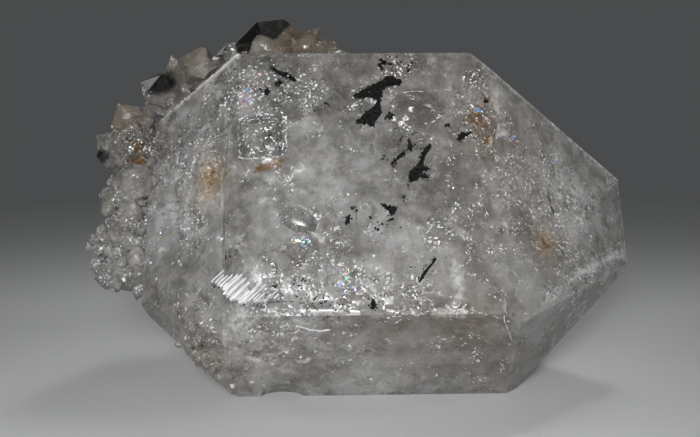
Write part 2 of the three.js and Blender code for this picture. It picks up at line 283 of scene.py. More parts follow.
# Iron stain is orange and brown films in cracks near the surface; some crystals are smoky or tan.
QUALITIES: dict[Quality, tuple[Region, ...]] = {
    Quality.CLOUDY: (
        Panel(MILKY_SHEET, 0.32), Spot((-36, -12, 40), 15, 1.25), Spot((-52, -4, 32), 12, 0.9),
        Spot((-26, -28, 12), 12), Spot((6, -29, 10), 15, 1.1),
        Streak((-22.2, -11.8, 60), (-26.2, -34.4, 18.9), 3, 0.5),
        Streak((25.8, -12, 60), (25.8, -34, 21), 2.5, 0.35), Spot((-7.9, -20.4, 45.2), 10, 0.85),
        Spot((3.5, -26.4, 34.6), 9, 0.7), Spot((9, -29.4, 29.4), 9, 0.8),
        Spot((-20.8, -31.3, 24), 9, 0.9), Spot((-26.5, -15.1, 42.5), 7, 0.4),
        Spot((-30, -24, 19), 8, 0.8), Spot((-14, -31, 15), 10, 0.6), Spot((0, -24, 4), 10),
        Spot((40, -12, 38), 17, 1.3), Spot((24, -20, 46), 12, 0.3), Spot((36, -25, 23), 12, 1.4),
        Spot((22, -29, 12), 14, 0.9), Spot((18.5, -31.5, 26), 4, 0.6),
    ),
    Quality.CLEAR: (
        Panel(ROUND_CRYSTAL, 0.55), Panel(SQUARE_CRYSTAL, 0.7), Spot((23, -27.8, 9.2), 14, 0.5),
        Spot((9.3, -30.2, 13.1), 9, 0.4), Spot((39.6, -21.4, 23.5), 8, 0.5),
        Spot((50.6, -12.3, 19.1), 9, 0.5), Spot((41, -18, 12.2), 12, 0.5),
        Spot((-50.1, 0, 32.4), 6, 0.6), Spot((-42, 0, 57), 5, 0.8), Spot((-34.5, 2, 64), 6.5, 0.8),
        Spot((-13, 3, 70), 7, 0.8), Spot((-50.3, 2, 55.5), 5, 0.8), Spot((13, -19, 47), 7, 0.4),
    ),
    Quality.FROSTED: (
        Streak((57, -6, 25.6), (44, -18, 23.2), 1.3, 0.6),
        Streak((44, -18, 23.2), (35, -28, 20), 0.9, 0.45),
        Streak((13, -34.2, 20.3), (18.5, -34.2, 20.3), 1.3, 0.6),
        Streak((2, -34.2, 19.9), (24, -34.2, 19.9), 0.6, 0.3),
        Streak((25.8, -9.1, 65.2), (58.8, 3.4, 39.3), 1, 0.45),
        Streak((-42.3, 3.1, 53.7), (-24.7, -5.4, 67.6), 1.1, 0.7),
        Streak((17.5, -30.5, 28), (17.8, -33, 23), 1.5, 0.55), Spot((-23, -33.5, 19.5), 4.5, 0.5),
        Spot((-12, -34, 18), 4, 0.4),
    ),
    # Where the edges' frosting and their painted edge highlights are strongest.
    Quality.RIMMED: (
        Spot((-19.5, -17.5, 50.5), 8), Spot((46, -14, 24), 8, 0.4),
    ),
    Quality.BUSY: (
        Panel(SQUARE_CRYSTAL, 0.75), Spot((-54, -5, 24), 8), Spot((-45, 2, 61), 3, 0.5),
        Spot((-22, -11, 60), 8, 0.9), Spot((-11, -12, 60.5), 5, 0.8), Spot((-34, -10, 46), 9, 0.7),
        Spot((-34.5, -15.5, 33.5), 4.5), Spot((-8, -29, 29), 7, 0.45),
        Spot((-2.5, -31, 26), 5, 0.55), Spot((10, -33, 22.5), 4, 0.6), Spot((0.8, -13, 57.8), 3.5),
        Spot((8, -9.5, 65), 4, 0.9), Spot((24, -10.4, 62.8), 3, 0.9), Spot((24, -15.5, 53.5), 5, 0.9),
        Spot((30.5, -16, 46), 4.5, 0.7), Spot((30.5, -22.5, 34.4), 3.5, 0.6),
        Spot((21, -25, 37), 4.5, 0.45), Spot((44.5, -10, 36), 6, 0.9),
        Spot((15.5, -27.5, 34.5), 3.5, 0.5), Spot((36, -16, 38), 14, 0.7), Spot((26, -26, 30), 7, 0.45),
        Spot((-12.4, -26, 35.2), 3, 0.5), Spot((-46, -2, 50.5), 4.5), Spot((-50, -3, 32), 7, 0.8),
        Spot((-30, -26, 14), 7, 0.6), Spot((-16, -33, 18), 6, 0.6), Spot((42, -20, 22), 10, 0.5),
        Spot((25, -28, 12), 12, 0.25), Spot((0, -29, 12), 14, 0.2), Spot((-18, -33, 23), 5, 0.7),
        Spot((-20, 20, 58), 14, 0.8), Spot((-40, 14, 40), 14, 0.8),
    ),
    Quality.BROWN: (
        Spot((24, -15, 54), 14, 0.5), Spot((34, -14, 42), 12, 0.6), Spot((20.2, -32, 16), 9),
        Spot((34, -21, 32), 5, 0.9), Streak((7.1, -32.4, 16.7), (16, -34.3, 20.6), 2.6, 0.9),
        Streak((16, -34.3, 20.6), (26, -32.4, 16.7), 2.6, 0.9), Spot((7.3, -30.2, 13.1), 9, 0.8),
        Spot((28, -26, 8), 10, 0.7), Spot((36.7, -19.9, 30.3), 7, 0.8), Spot((8, -10, 62), 9, 0.5),
        Spot((-10, 4, 70), 7, 0.6), Spot((-30, -24, 12), 6, 0.6), Spot((-46, -2, 47), 5, 0.5),
        Spot((30, -22, 36), 9, 0.6),
    ),
    Quality.SMOKY: (
        Streak((-24.4, 3.2, 69), (-21.8, 3, 73), 2),
        Streak((-21.8, 3, 73.2), (-14, 4.5, 75.2), 2),
        Streak((-20.6, 2.2, 73.5), (-17.7, 2, 71.3), 1.5), Spot((-42.6, 1.6, 63.6), 5.2),
        Spot((-30, 6, 69), 3, 0.9), Spot((-55, 4, 45.6), 3.2, 0.8), Spot((-53.5, 2, 56.5), 1.8, 0.9),
        Spot((-51, -4, 33.5), 3, 0.5),
    ),
    Quality.TANNED: (
        Spot((-50.3, 2, 55.5), 5, 0.8), Spot((-29.6, -15, 43), 4.4, 1.1),
        Spot((-35.5, 5, 66.5), 6, 0.6), Spot((-13, 4, 70.5), 8, 0.7), Spot((-33, -26, 6), 8, 0.35),
        Spot((36.9, -19.9, 30.4), 3.2, 0.9),
    ),
    Quality.RUSTED: (
        Spot((-29.3, -15.2, 43), 3.2, 0.62), Streak((-19.9, -21, 45.8), (-15.4, -20.7, 46.8), 1.25),
        Spot((-47.2, -1, 44.3), 2.4, 1.2), Spot((-46.6, -1, 48.4), 1.7, 1.1),
        Spot((23.8, -15, 54.6), 4.4, 0.75), Spot((26.6, -12.2, 58.5), 2.6, 0.75),
        Spot((25.2, -17, 51.2), 3, 0.75), Spot((36.7, -19.9, 30.4), 2.4, 0.7),
        Spot((-31.5, -25.5, 11.6), 2.2, 0.6),
    ),
}


# -------- selecting and shaping


def deselect_all() -> None:
    """Leaves nothing selected."""
    bpy.ops.object.select_all(action="DESELECT")


def pick(obj: MeshObject) -> None:
    """Selects one object alone and makes it active."""
    deselect_all()
    obj.select_set(True)
    bpy.context.view_layer.objects.active = obj


@contextmanager
def editing(obj: MeshObject, select: str = "DESELECT") -> Iterator[None]:
    """Edit mode on one object, in face mode.

    Args:
        obj: the object.
        select: what is selected at the start, SELECT for all or DESELECT for none.
    """
    pick(obj)
    bpy.ops.object.mode_set(mode="EDIT")
    bpy.ops.mesh.select_mode(type="FACE")
    bpy.ops.mesh.select_all(action=select)
    yield
    bpy.ops.object.mode_set(mode="OBJECT")


def choose_faces(obj: MeshObject, wanted: Callable[[bmesh.types.BMFace], bool]) -> None:
    """Selects faces in edit mode, and nothing else.

    Args:
        obj: the object, in edit mode.
        wanted: tells of each face whether it is selected.
    """
    bpy.ops.mesh.select_all(action="DESELECT")
    shape = bmesh.from_edit_mesh(obj.data)
    for face in shape.faces:
        if wanted(face):
            face.select_set(True)
    bmesh.update_edit_mesh(obj.data)


def primitive(add: Callable[..., Any], **sizes: Any) -> MeshObject:
    """Adds a primitive by Blender's operator for it, while nothing else is selected."""
    deselect_all()
    add(**sizes)
    return bpy.context.object


def displace(
    obj: MeshObject,
    kind: str,
    size: float,
    strength: float,
    level: float,
    group: str = "",
    shelves: Sequence[float] = (),
    **settings: Any,
) -> None:
    """Pushes a piece's skin in and out by a pattern in space.

    Args:
        obj: the piece.
        kind: the pattern's type.
        size: the size of its parts.
        strength: how far the skin moves between its darkest and its lightest.
        level: the shade that stays in place.
        group: the vertex group that it acts on, or all of the piece.
        shelves: the shades at which it steps up, if it has steps.
        settings: the pattern's other properties.
    """
    pattern = bpy.data.textures.new(kind.lower(), kind)
    pattern.noise_scale = size
    for name, value in settings.items():
        setattr(pattern, name, value)
    if shelves:
        pattern.use_color_ramp = True
        ramp = pattern.color_ramp
        ramp.interpolation = "EASE"
        for i, position in enumerate(shelves):
            element = ramp.elements[i] if i < 2 else ramp.elements.new(position)
            element.position = position
            element.color = grey(i / (len(shelves) - 1))
    pick(obj)
    modifier = obj.modifiers.new(kind.lower(), "DISPLACE")
    modifier.texture = pattern
    modifier.texture_coords = "LOCAL"
    modifier.strength = strength
    modifier.mid_level = level
    modifier.vertex_group = group
    bpy.ops.object.modifier_apply(modifier=modifier.name)


def joined(name: str, parts: Sequence[MeshObject]) -> MeshObject:
    """Joins objects into one.

    Args:
        name: the joined piece's name.
        parts: the objects, at the origin.

    Returns:
        The piece.
    """
    pick(parts[0])
    for part in parts:
        part.select_set(True)
    bpy.ops.object.join()
    piece = bpy.context.object
    piece.name = piece.data.name = name
    return piece


def mesh_array(items: Any, name: str, width: int = 3) -> np.ndarray:
    """Reads a property of a mesh's vertices, faces or edges.

    Args:
        items: the collection.
        name: the property.
        width: how many numbers it has.

    Returns:
        An array with one row an item.
    """
    flat = np.empty(len(items) * width, np.float64)
    items.foreach_get(name, flat)
    return flat.reshape(-1, width) if width > 1 else flat


def corners_mm(obj: MeshObject) -> np.ndarray:
    """Where a piece's corners are, in millimetres, one a row."""
    return mesh_array(obj.data.vertices, "co") / MM


def face_corners(mesh: bpy.types.Mesh) -> tuple[np.ndarray, np.ndarray]:
    """Which corners the faces have, one face after the other, and the material of each one's face."""
    sizes = mesh_array(mesh.polygons, "loop_total", 1).astype(int)
    index = mesh_array(mesh.polygons, "material_index", 1)
    return mesh_array(mesh.loops, "vertex_index", 1).astype(int), np.repeat(index, sizes)


def new_object(name: str, corners: Sequence[Any], faces: Sequence[Any]) -> MeshObject:
    """Makes a mesh object.

    Args:
        name: the object's name.
        corners: its corners.
        faces: its faces, each as the numbers of its corners.

    Returns:
        The object, in the scene.
    """
    mesh = bpy.data.meshes.new(name)
    mesh.from_pydata(corners, [], faces)
    obj = bpy.data.objects.new(name, mesh)
    bpy.context.scene.collection.objects.link(obj)
    return obj


def write_attribute(obj: MeshObject, name: str, values: np.ndarray) -> None:
    """Keeps a number for each of a mesh's corners, for its material to read."""
    attribute = obj.data.attributes.new(name, "FLOAT", "POINT")
    attribute.data.foreach_set("value", values.astype(np.float32))


def read_attribute(obj: MeshObject, name: str) -> np.ndarray:
    """Reads what write_attribute has kept."""
    values = np.empty(len(obj.data.vertices), np.float32)
    obj.data.attributes[name].data.foreach_get("value", values)
    return values


def paint_qualities(obj: MeshObject) -> None:
    """Writes what the quartz is like at each corner of a piece."""
    points = corners_mm(obj)
    for quality, regions in QUALITIES.items():
        write_attribute(obj, quality.value, strongest(regions, points))


def keep_from_rims(obj: MeshObject) -> None:
    """Says that a piece lies away from the main crystal's frosted edges and their painted edge
    highlights.
    """
    write_attribute(obj, RIM, np.full(len(obj.data.vertices), FAR_FROM_RIM))


@dataclass(frozen=True)
class Outline:
    """The corners and faces of a small shape, ready to be copied many times."""

    corners: np.ndarray
    faces: list[tuple[int, ...]]

    @staticmethod
    def take(obj: MeshObject) -> "Outline":
        """Reads an object's mesh and deletes the object.

        Args:
            obj: the modelled shape, at the origin.

        Returns:
            Its outline.
        """
        corners = mesh_array(obj.data.vertices, "co")
        faces = [tuple(face.vertices) for face in obj.data.polygons]
        bpy.data.objects.remove(obj)
        return Outline(corners, faces)


@dataclass
class Swarm:
    """Many copies of a few small shapes, as one mesh.

    Attributes:
        name: the piece's name.
        corners: the copies' corners so far.
        faces: the copies' faces so far.
        used: how many corners they have.
    """

    name: str
    corners: list[np.ndarray] = field(default_factory=list)
    faces: list[tuple[int, ...]] = field(default_factory=list)
    used: int = 0

    def add(self, shape: Outline, place: Matrix) -> None:
        """Adds one copy.

        Args:
            shape: what is copied.
            place: where it goes, how it is turned and how large it is.
        """
        turned = np.array(place)[:3, :3]
        moved = shape.corners @ turned.T + np.array(place.translation)
        self.corners.append(moved)
        self.faces.extend(tuple(i + self.used for i in face) for face in shape.faces)
        self.used += len(moved)

    def build(self) -> MeshObject:
        """Makes the mesh object of all the copies."""
        return new_object(self.name, np.concatenate(self.corners).tolist(), self.faces)


def aimed(middle: Vector, points: Vector, spin: float, size: Vector) -> Matrix:
    """A place for a shape that was made along Z.

    Args:
        middle: where its origin goes.
        points: the way its Z goes.
        spin: how far it is turned about that, in radians.
        size: how far it is stretched along its own X, Y and Z.

    Returns:
        The matrix that puts it there.
    """
    turn = points.to_track_quat("Z", "Y") @ Quaternion((0.0, 0.0, 1.0), spin)
    return Matrix.LocRotScale(middle, turn, size)


# -------- shader sums


class Signal:
    """A number that runs between nodes. A sum written on it adds its Math nodes."""

    def __init__(self, graph: "Graph", socket: bpy.types.NodeSocket) -> None:
        """Wraps a socket of a graph."""
        self.graph = graph
        self.socket = socket

    def __add__(self, other: "Number") -> "Signal":
        """This plus other."""
        return self.graph.sum("ADD", self, other)

    def __radd__(self, other: "Number") -> "Signal":
        """Other plus this."""
        return self.graph.sum("ADD", other, self)

    def __sub__(self, other: "Number") -> "Signal":
        """This less other."""
        return self.graph.sum("SUBTRACT", self, other)

    def __rsub__(self, other: "Number") -> "Signal":
        """Other less this."""
        return self.graph.sum("SUBTRACT", other, self)

    def __mul__(self, other: "Number") -> "Signal":
        """This times other."""
        return self.graph.sum("MULTIPLY", self, other)

    def __rmul__(self, other: "Number") -> "Signal":
        """Other times this."""
        return self.graph.sum("MULTIPLY", other, self)

    def __abs__(self) -> "Signal":
        """This without its sign."""
        return self.graph.sum("ABSOLUTE", self)

    def at_least(self, other: "Number") -> "Signal":
        """The larger of this and other."""
        return self.graph.sum("MAXIMUM", self, other)

    def at_most(self, other: "Number") -> "Signal":
        """The smaller of this and other."""
        return self.graph.sum("MINIMUM", self, other)


Number = Signal | float


class Graph:
    """A material's node tree, emptied, with one way to add any node."""

    def __init__(self, material: bpy.types.Material) -> None:
        """Empties the material's tree."""
        material.use_nodes = True
        self.tree = material.node_tree
        self.tree.nodes.clear()

    def add(
        self,
        kind: str,
        sockets: dict[str | int, Any] | None = None,
        out: str | int = 0,
        **settings: Any,
    ) -> Signal:
        """Adds a node.

        Args:
            kind: its type, without the ShaderNode in front.
            sockets: values or signals, by the socket's name or number.
            out: the output that is returned.
            settings: the node's properties; stops gives a colour ramp's.

        Returns:
            The chosen output.
        """
        node = self.tree.nodes.new("ShaderNode" + kind)
        for name, value in settings.items():
            if name == "stops":
                self._set_stops(node.color_ramp, value)
            else:
                setattr(node, name, value)
        for key, value in (sockets or {}).items():
            self._feed(node.inputs[key], value)
        return Signal(self, node.outputs[out]) if node.outputs else Signal(self, node.inputs[0])

    def _feed(self, socket: bpy.types.NodeSocket, value: Any) -> None:
        """Links a signal to a socket, or sets the socket's own value."""
        if isinstance(value, Signal):
            self.tree.links.new(value.socket, socket)
        else:
            socket.default_value = value

    @staticmethod
    def _set_stops(ramp: bpy.types.ColorRamp, stops: Sequence[tuple[float, Colour]]) -> None:
        """Gives a colour ramp its stops."""
        while len(ramp.elements) < len(stops):
            ramp.elements.new(1.0)
        for element, (position, colour) in zip(ramp.elements, stops):
            element.position = position
            element.color = colour

    def sum(self, operation: str, *terms: Number) -> Signal:
        """A Math node on one to three numbers."""
        return self.add("Math", dict(enumerate(terms)), operation=operation)

    def place(self) -> Signal:
        """The point's place on the piece, in millimetres."""
        coordinates = self.add("TexCoord", out="Object")
        scale = (1 / MM, 1 / MM, 1 / MM)
        return self.add("Mapping", {"Vector": coordinates, "Scale": scale})

    def noise(self, place: Signal, size: float, detail: float = 2.0, swirl: float = 0.0) -> Signal:
        """Soft noise from about 0.2 to 0.8.

        Args:
            place: where it is read.
            size: the size of its blotches, in millimetres.
            detail: how many finer layers it has.
            swirl: how far it is drawn into whorls.
        """
        sockets = {"Vector": place, "Scale": 1 / size, "Detail": detail, "Distortion": swirl}
        return self.add("TexNoise", sockets)

    def step(self, value: Signal, start: float, end: float) -> Signal:
        """0 below start, 1 above end and a smooth rise between, or the other way round."""
        sockets = {"Value": value, "From Min": start, "From Max": end}
        return self.add("MapRange", sockets, interpolation_type="SMOOTHSTEP")

    def attribute(self, name: str) -> Signal:
        """A number that the mesh keeps at its corners."""
        return self.add("Attribute", out="Fac", attribute_name=name)

    def warp(self, place: Signal, size: float, amount: float) -> Signal:
        """A place moved up to amount by noise with blotches of one size, both in millimetres."""
        noise = self.add("TexNoise", {"Vector": place, "Scale": 1 / size, "Detail": 2.0}, out="Color")
        return self._moved(place, noise, amount)

    def _moved(self, vector: Signal, colour: Signal, amount: Number) -> Signal:
        """A vector moved by a colour's numbers, of which 0.5 moves it by nothing."""
        centred = self.add("VectorMath", {0: colour, 1: (0.5, 0.5, 0.5)}, operation="SUBTRACT")
        shift = self.add("VectorMath", {0: centred, "Scale": 2.0 * amount}, operation="SCALE")
        return self.add("VectorMath", {0: vector, 1: shift}, operation="ADD")

    def lot(self, place: Signal, size: float) -> Signal:
        """A number from 0 to 1 that is the same all over each cell of space, size millimetres wide."""
        cell = self.add("TexVoronoi", {"Vector": place, "Scale": 1 / size}, out="Color")
        return self.add("SeparateXYZ", {0: cell})

    def blend(self, factor: Number, first: Any, second: Any) -> Signal:
        """A colour between two."""
        return self.add("Mix", {0: factor, 6: first, 7: second}, out=2, data_type="RGBA")

    def facets(self, place: Signal, bent: Signal, layers: Sequence[tuple[float, Number]]) -> Signal:
        """A normal that is tilted afresh on each small facet.

        Args:
            place: where it is read for every layer but the first.
            bent: where it is read for the first, whose facets have wavy edges.
            layers: for each layer the facets' size in millimetres and how far they tilt.
        """
        normal = self.add("NewGeometry", out="Normal")
        where = bent
        for size, tilt in layers:
            cell = self.add("TexVoronoi", {"Vector": where, "Scale": 1 / size}, out="Color")
            normal = self._moved(normal, cell, tilt)
            where = place
        return self.add("VectorMath", {0: normal}, operation="NORMALIZE")

    def principled(
        self, colour: Any, roughness: Number, sockets: dict[str | int, Any] | None = None
    ) -> Signal:
        """A Principled shader: its base colour, its roughness and what else is set."""
        return self.add(
            "BsdfPrincipled", {"Base Color": colour, "Roughness": roughness, **(sockets or {})}
        )

    def finish(self, surface: Signal, volume: Signal | None = None) -> None:
        """Adds the output node."""
        sockets: dict[str | int, Any] = {"Surface": surface}
        if volume is not None:
            sockets["Volume"] = volume
        self.add("OutputMaterial", sockets)


# -------- finishes


@dataclass(frozen=True)
class Finish:
    """A material that paints itself.

    Attributes:
        name: the material's name.
    """

    name: str

    def paint(self, graph: Graph) -> None:
        """Adds the nodes."""
        raise NotImplementedError

    def make(self) -> bpy.types.Material:
        """Makes the material."""
        material = bpy.data.materials.new(self.name)
        self.paint(Graph(material))
        return material


@dataclass(frozen=True)
class QuartzFinish(Finish):
    """Clear quartz that is clouded, stained and broken into glinting facets by what is in it.

    Attributes:
        haze: the least share of cloud everywhere.
        cloud: how much more there is where it is cloudy.
        block: the size of the blocks that it is grown from, in millimetres.
        block_tilt: how far the blocks' skins lean.
        grain: the size of the glinting facets, in millimetres.
        grain_tilt: how far they lean.
        glitter: the share of facets that are painted pale, as glints, where it glitters.
        bustle: how much of it glitters, of its own accord, from 0 to 1.
        rim: how strongly the edges are frosted everywhere, a lightening that is in part painted edge
            highlights.
        glow: how far cloudy quartz lets light spread inside it, from 0 to 1.
        polish: how rough its clearest skin is.
        clear, smoke, tan, rust: the glass's colours, plain and where it is stained.
        shade, milk, umber: the cloud's colours, dark, light, and dark where it is brown.
        frost_and_glint: the colour of frosted edges, of the painted edge highlights on them and of the
            painted glint facets.
        glow_depth: how far light spreads in the cloud.
        ior, absorption, absorption_density: how the glass bends and takes up light.
    """

    haze: float = 0.33
    cloud: float = 0.34
    block: float = 2.4
    block_tilt: float = 0.13
    grain: float = 0.36
    grain_tilt: float = 0.42
    glitter: float = 0.1
    bustle: float = 0.5
    rim: float = 0.12
    glow: float = 0.45
    polish: float = 0.06
    clear: Colour = grey(0.97, 0.01)
    smoke: Colour = (0.03, 0.028, 0.026, 1.0)
    tan: Colour = (0.38, 0.275, 0.15, 1.0)
    rust: Colour = (0.135, 0.066, 0.013, 1.0)
    shade: Colour = (0.26, 0.25, 0.232, 1.0)
    milk: Colour = grey(0.42, 0.018)
    umber: Colour = (0.235, 0.19, 0.13, 1.0)
    frost_and_glint: Colour = grey(0.88)
    glow_depth: float = 2.4 * MM
    ior: float = 1.544
    absorption: Colour = (0.78, 0.74, 0.69, 1.0)
    absorption_density: float = 18.0

    def paint(self, graph: Graph) -> None:
        """Adds the nodes of both kinds of quartz and of what clouds and stains them."""
        has = {quality: graph.attribute(quality.value) for quality in Quality}
        cloudy, clear, brown = has[Quality.CLOUDY], has[Quality.CLEAR], has[Quality.BROWN]
        tanned, smoky = has[Quality.TANNED], graph.step(has[Quality.SMOKY], 0.35, 0.6)
        # The patterns in space, from broad clouds down to specks.
        place = graph.place()
        bent = graph.warp(place, 3.0, 1.3)
        drawn = graph.add("Mapping", {"Vector": place, "Scale": (0.35, 1.0, 1.0)})
        body = graph.step(graph.noise(place, 7.5, 4.0, 0.7), 0.36, 0.66)
        drift = graph.step(graph.noise(drawn, 4.0, 4.0, 0.8), 0.36, 0.66)
        wisps = graph.noise(bent, 2.8, 4.0, 0.5)
        fine = graph.noise(place, 0.9, 3.0)
        speckle = graph.noise(place, 0.32, 2.0)
        blocks = graph.lot(bent, self.block)
        # Where it glitters, which of its facets are painted pale as glints, and where healed cracks run.
        bustle = has[Quality.BUSY] * 0.58 + self.bustle * 0.42
        busy = graph.step(bustle + 1.5 * (graph.noise(place, 2.6, 2.0, 0.6) - 0.5), 0.22, 0.62)
        busy = busy * (1.0 - smoky)
        grains = graph.lot(place, self.grain)
        painted_glints = graph.step(grains, 1 - self.glitter, 1 - 0.9 * self.glitter) * busy
        veins = graph.step(abs(graph.noise(place, 4.0, 3.0, 1.2) - 0.5), 0.01, 0.002)
        veins = veins * graph.step(graph.noise(place, 7.0, 2.0), 0.52, 0.62)
        # Where rust lies, and where the edges are frosted and lightened, in part as painted edge
        # highlights.
        rim = graph.step(graph.attribute(RIM) + 1.4 * (fine - 0.5), 0.9, 0.1)
        breaks = graph.step(graph.noise(place, 3.0, 2.0), 0.4, 0.62)
        rim = rim * (breaks * self.rim + 0.8 * has[Quality.RIMMED])
        frosted = graph.step(has[Quality.FROSTED] + 0.7 * (fine - 0.5), 0.15, 0.85)
        stain = has[Quality.RUSTED] + 2.2 * (graph.noise(place, 0.8, 4.0) - 0.5)
        rusted = graph.step(stain, 0.42, 0.95)
        # The share of cloud: 0 is glass and 1 is milk.
        share = self.haze + self.cloud * (0.6 * body + 0.7 * cloudy) + 0.5 * (wisps - 0.5)
        share = share * (1.0 - 0.7 * clear) + clear * 0.2 * drift
        share = share + 0.1 * (fine - 0.5) + busy * (0.9 * (speckle - 0.5) + 0.3 * (blocks - 0.5))
        share = (share + 0.45 * veins) * (1.0 - 0.95 * smoky) + 0.55 * frosted
        # Rust, the frosted edges with their painted edge highlights, and the painted glints turn to milk
        # here.
        share = share.at_least(0.95 * rusted).at_least(rim).at_least(0.9 * painted_glints).at_most(1.0)
        # The colours of the glass and of the milk.
        colour = graph.blend(tanned, self.clear, self.tan)
        colour = graph.blend(smoky, colour, self.smoke)
        tone = wisps + 0.3 * cloudy + 0.2 * (body - 0.5) + 0.55 * (fine - 0.5) + 0.4 * (speckle - 0.5)
        tone = graph.step(tone + 0.5 * brown * (drift - 0.5), 0.2, 0.95)
        shade = graph.blend(brown, self.shade, self.umber)
        milk = graph.blend(tone * (1.0 - 0.6 * brown), shade, self.milk)
        # Frosted edges with their painted edge highlights, and the painted glints, take the pale frosted
        # colour.
        milk = graph.blend(rim.at_least(painted_glints).at_least(0.5 * frosted), milk, self.frost_and_glint)
        milk = graph.blend(0.8 * tanned, milk, self.tan)
        milk = graph.blend(0.9 * smoky, milk, self.smoke)
        layers = (
            (self.block, self.block_tilt * (0.35 + busy) * (1.0 - smoky)),
            (self.grain, self.grain_tilt * busy * (1.0 - 0.5 * clear)),
        )
        normal = graph.facets(place, bent, layers)
        glass = graph.principled(
            graph.blend(rusted, colour, self.rust),
            self.polish + 0.16 * body * (1.0 - smoky),
            {"IOR": self.ior, "Transmission Weight": 1.0, "Normal": normal},
        )
        inner_glow = {
            "Subsurface Weight": self.glow,
            "Subsurface Radius": (1.0, 0.9, 0.8),
            "Subsurface Scale": self.glow_depth,
        }
        cloudy_glass = graph.principled(
            graph.blend(rusted, milk, self.rust),
            0.32,
            {"IOR": self.ior, "Normal": normal, **inner_glow},
        )
        surface = graph.add("MixShader", {0: share, 1: glass, 2: cloudy_glass})
        sockets = {"Color": self.absorption, "Density": self.absorption_density}
        graph.finish(surface, graph.add("VolumeAbsorption", sockets))


# The rainbow glints' colours: painted iridescent reflections.
RAINBOW: tuple[tuple[float, Colour], ...] = (
    (0.0, (1.0, 0.25, 0.55, 1.0)), (0.3, (1.0, 0.62, 0.2, 1.0)), (0.5, (0.35, 0.95, 0.6, 1.0)),
    (0.7, (0.2, 0.65, 1.0, 1.0)), (1.0, (0.75, 0.35, 1.0, 1.0)),
)


@dataclass(frozen=True)
class GlitterFinish(Finish):
    """The skin of a tiny crack; the glitter plates' bright, warm and rainbow colours on it are painted
    glints.

    Attributes:
        colour: its own colour.
        metallic: how much it mirrors.
        roughness: how blurred that is.
        rainbow: how much of its colour changes from one plate to the next.
        dimming: how much darker some plates are than others, from 0 to 1.
        faint: the darkest ones' colour.
    """

    colour: Colour
    metallic: float
    roughness: float
    rainbow: float
    dimming: float = 0.0
    faint: Colour = grey(0.2, 0.02)

    def paint(self, graph: Graph) -> None:
        """Adds the nodes."""
        place = graph.place()
        hue = graph.lot(place, 0.7)
        spectrum = graph.add("ValToRGB", {0: hue}, stops=RAINBOW)
        dimmed = graph.blend(self.dimming * graph.lot(place, 0.4), self.colour, self.faint)
        colour = graph.blend(self.rainbow, dimmed, spectrum)
        graph.finish(graph.principled(colour, self.roughness, {"Metallic": self.metallic}))


@dataclass(frozen=True)
class StripeFinish(Finish):
    """The skin of a growth step, streaked along its length; its bright copy is painted light and its
    grey copy painted shade.

    Attributes:
        colour: its own colour.
        strength: how much darker the streaks are, from 0 to 1.
    """

    colour: Colour
    strength: float = 0.5

    def paint(self, graph: Graph) -> None:
        """Adds the nodes."""
        place = graph.place()
        turned = graph.add("Mapping", {"Vector": place, "Rotation": (0.0, math.radians(40), 0.0)})
        drawn = graph.add("Mapping", {"Vector": turned, "Scale": (0.3, 1.5, 3.0)})
        streaks = graph.step(graph.noise(drawn, 1.0, 3.0), 0.3, 0.7)
        shaded = graph.blend(self.strength * streaks, self.colour, grey(0.2))
        graph.finish(graph.principled(shaded, 0.15 + 0.2 * streaks))


@dataclass(frozen=True)
class AnthraxoliteFinish(Finish):
    """Black, brittle hydrocarbon with a half-dull, cracked skin."""

    def paint(self, graph: Graph) -> None:
        """Adds the nodes."""
        place = graph.place()
        dull = graph.step(graph.noise(place, 0.7, 3.0), 0.35, 0.65)
        colour = graph.blend(dull, grey(0.003), grey(0.008, 0.05))
        sockets = {"Vector": place, "Scale": 1.6}
        cracks = graph.add("TexVoronoi", sockets, feature="DISTANCE_TO_EDGE")
        bump = graph.add("Bump", {"Height": cracks, "Distance": 0.0003, "Strength": 0.6})
        sockets = {"Specular IOR Level": 0.12, "Normal": bump}
        graph.finish(graph.principled(colour, 0.3 + 0.35 * dull, sockets))


@dataclass(frozen=True)
class FloorFinish(Finish):
    """A plain pale tabletop."""

    colour: Colour = (0.58, 0.585, 0.59, 1.0)

    def paint(self, graph: Graph) -> None:
        """Adds the nodes."""
        graph.finish(graph.principled(self.colour, 0.75))


# -------- the quartz


class Growth(Enum):
    """The kinds of quartz surface, by their material's place on the body."""

    CRYSTALS = 0
    BROAD = 1
    LEDGE = 2


@dataclass(kw_only=True)
class Piece:
    """A modelled piece of the specimen.

    Attributes:
        mesh_object: its mesh object, once it is built.
    """

    mesh_object: MeshObject | None = None

    def settle(
        self,
        *materials: bpy.types.Material,
        slot: str = QUARTZ_SLOT,
        nodes: Sequence[str] = (QUARTZ_NODE,),
    ) -> None:
        """Gives the piece its materials and makes it ride on the specimen.

        Args:
            materials: its materials, in order.
            slot: the record's material slot; not used.
            nodes: the solid model's nodes that it stands for.
        """
        obj = self.mesh_object
        for material in materials:
            obj.data.materials.append(material)
        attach(obj, BODY)
        if nodes:
            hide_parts(*nodes)
        LOG.info("%s: %d faces", obj.name, len(obj.data.polygons))


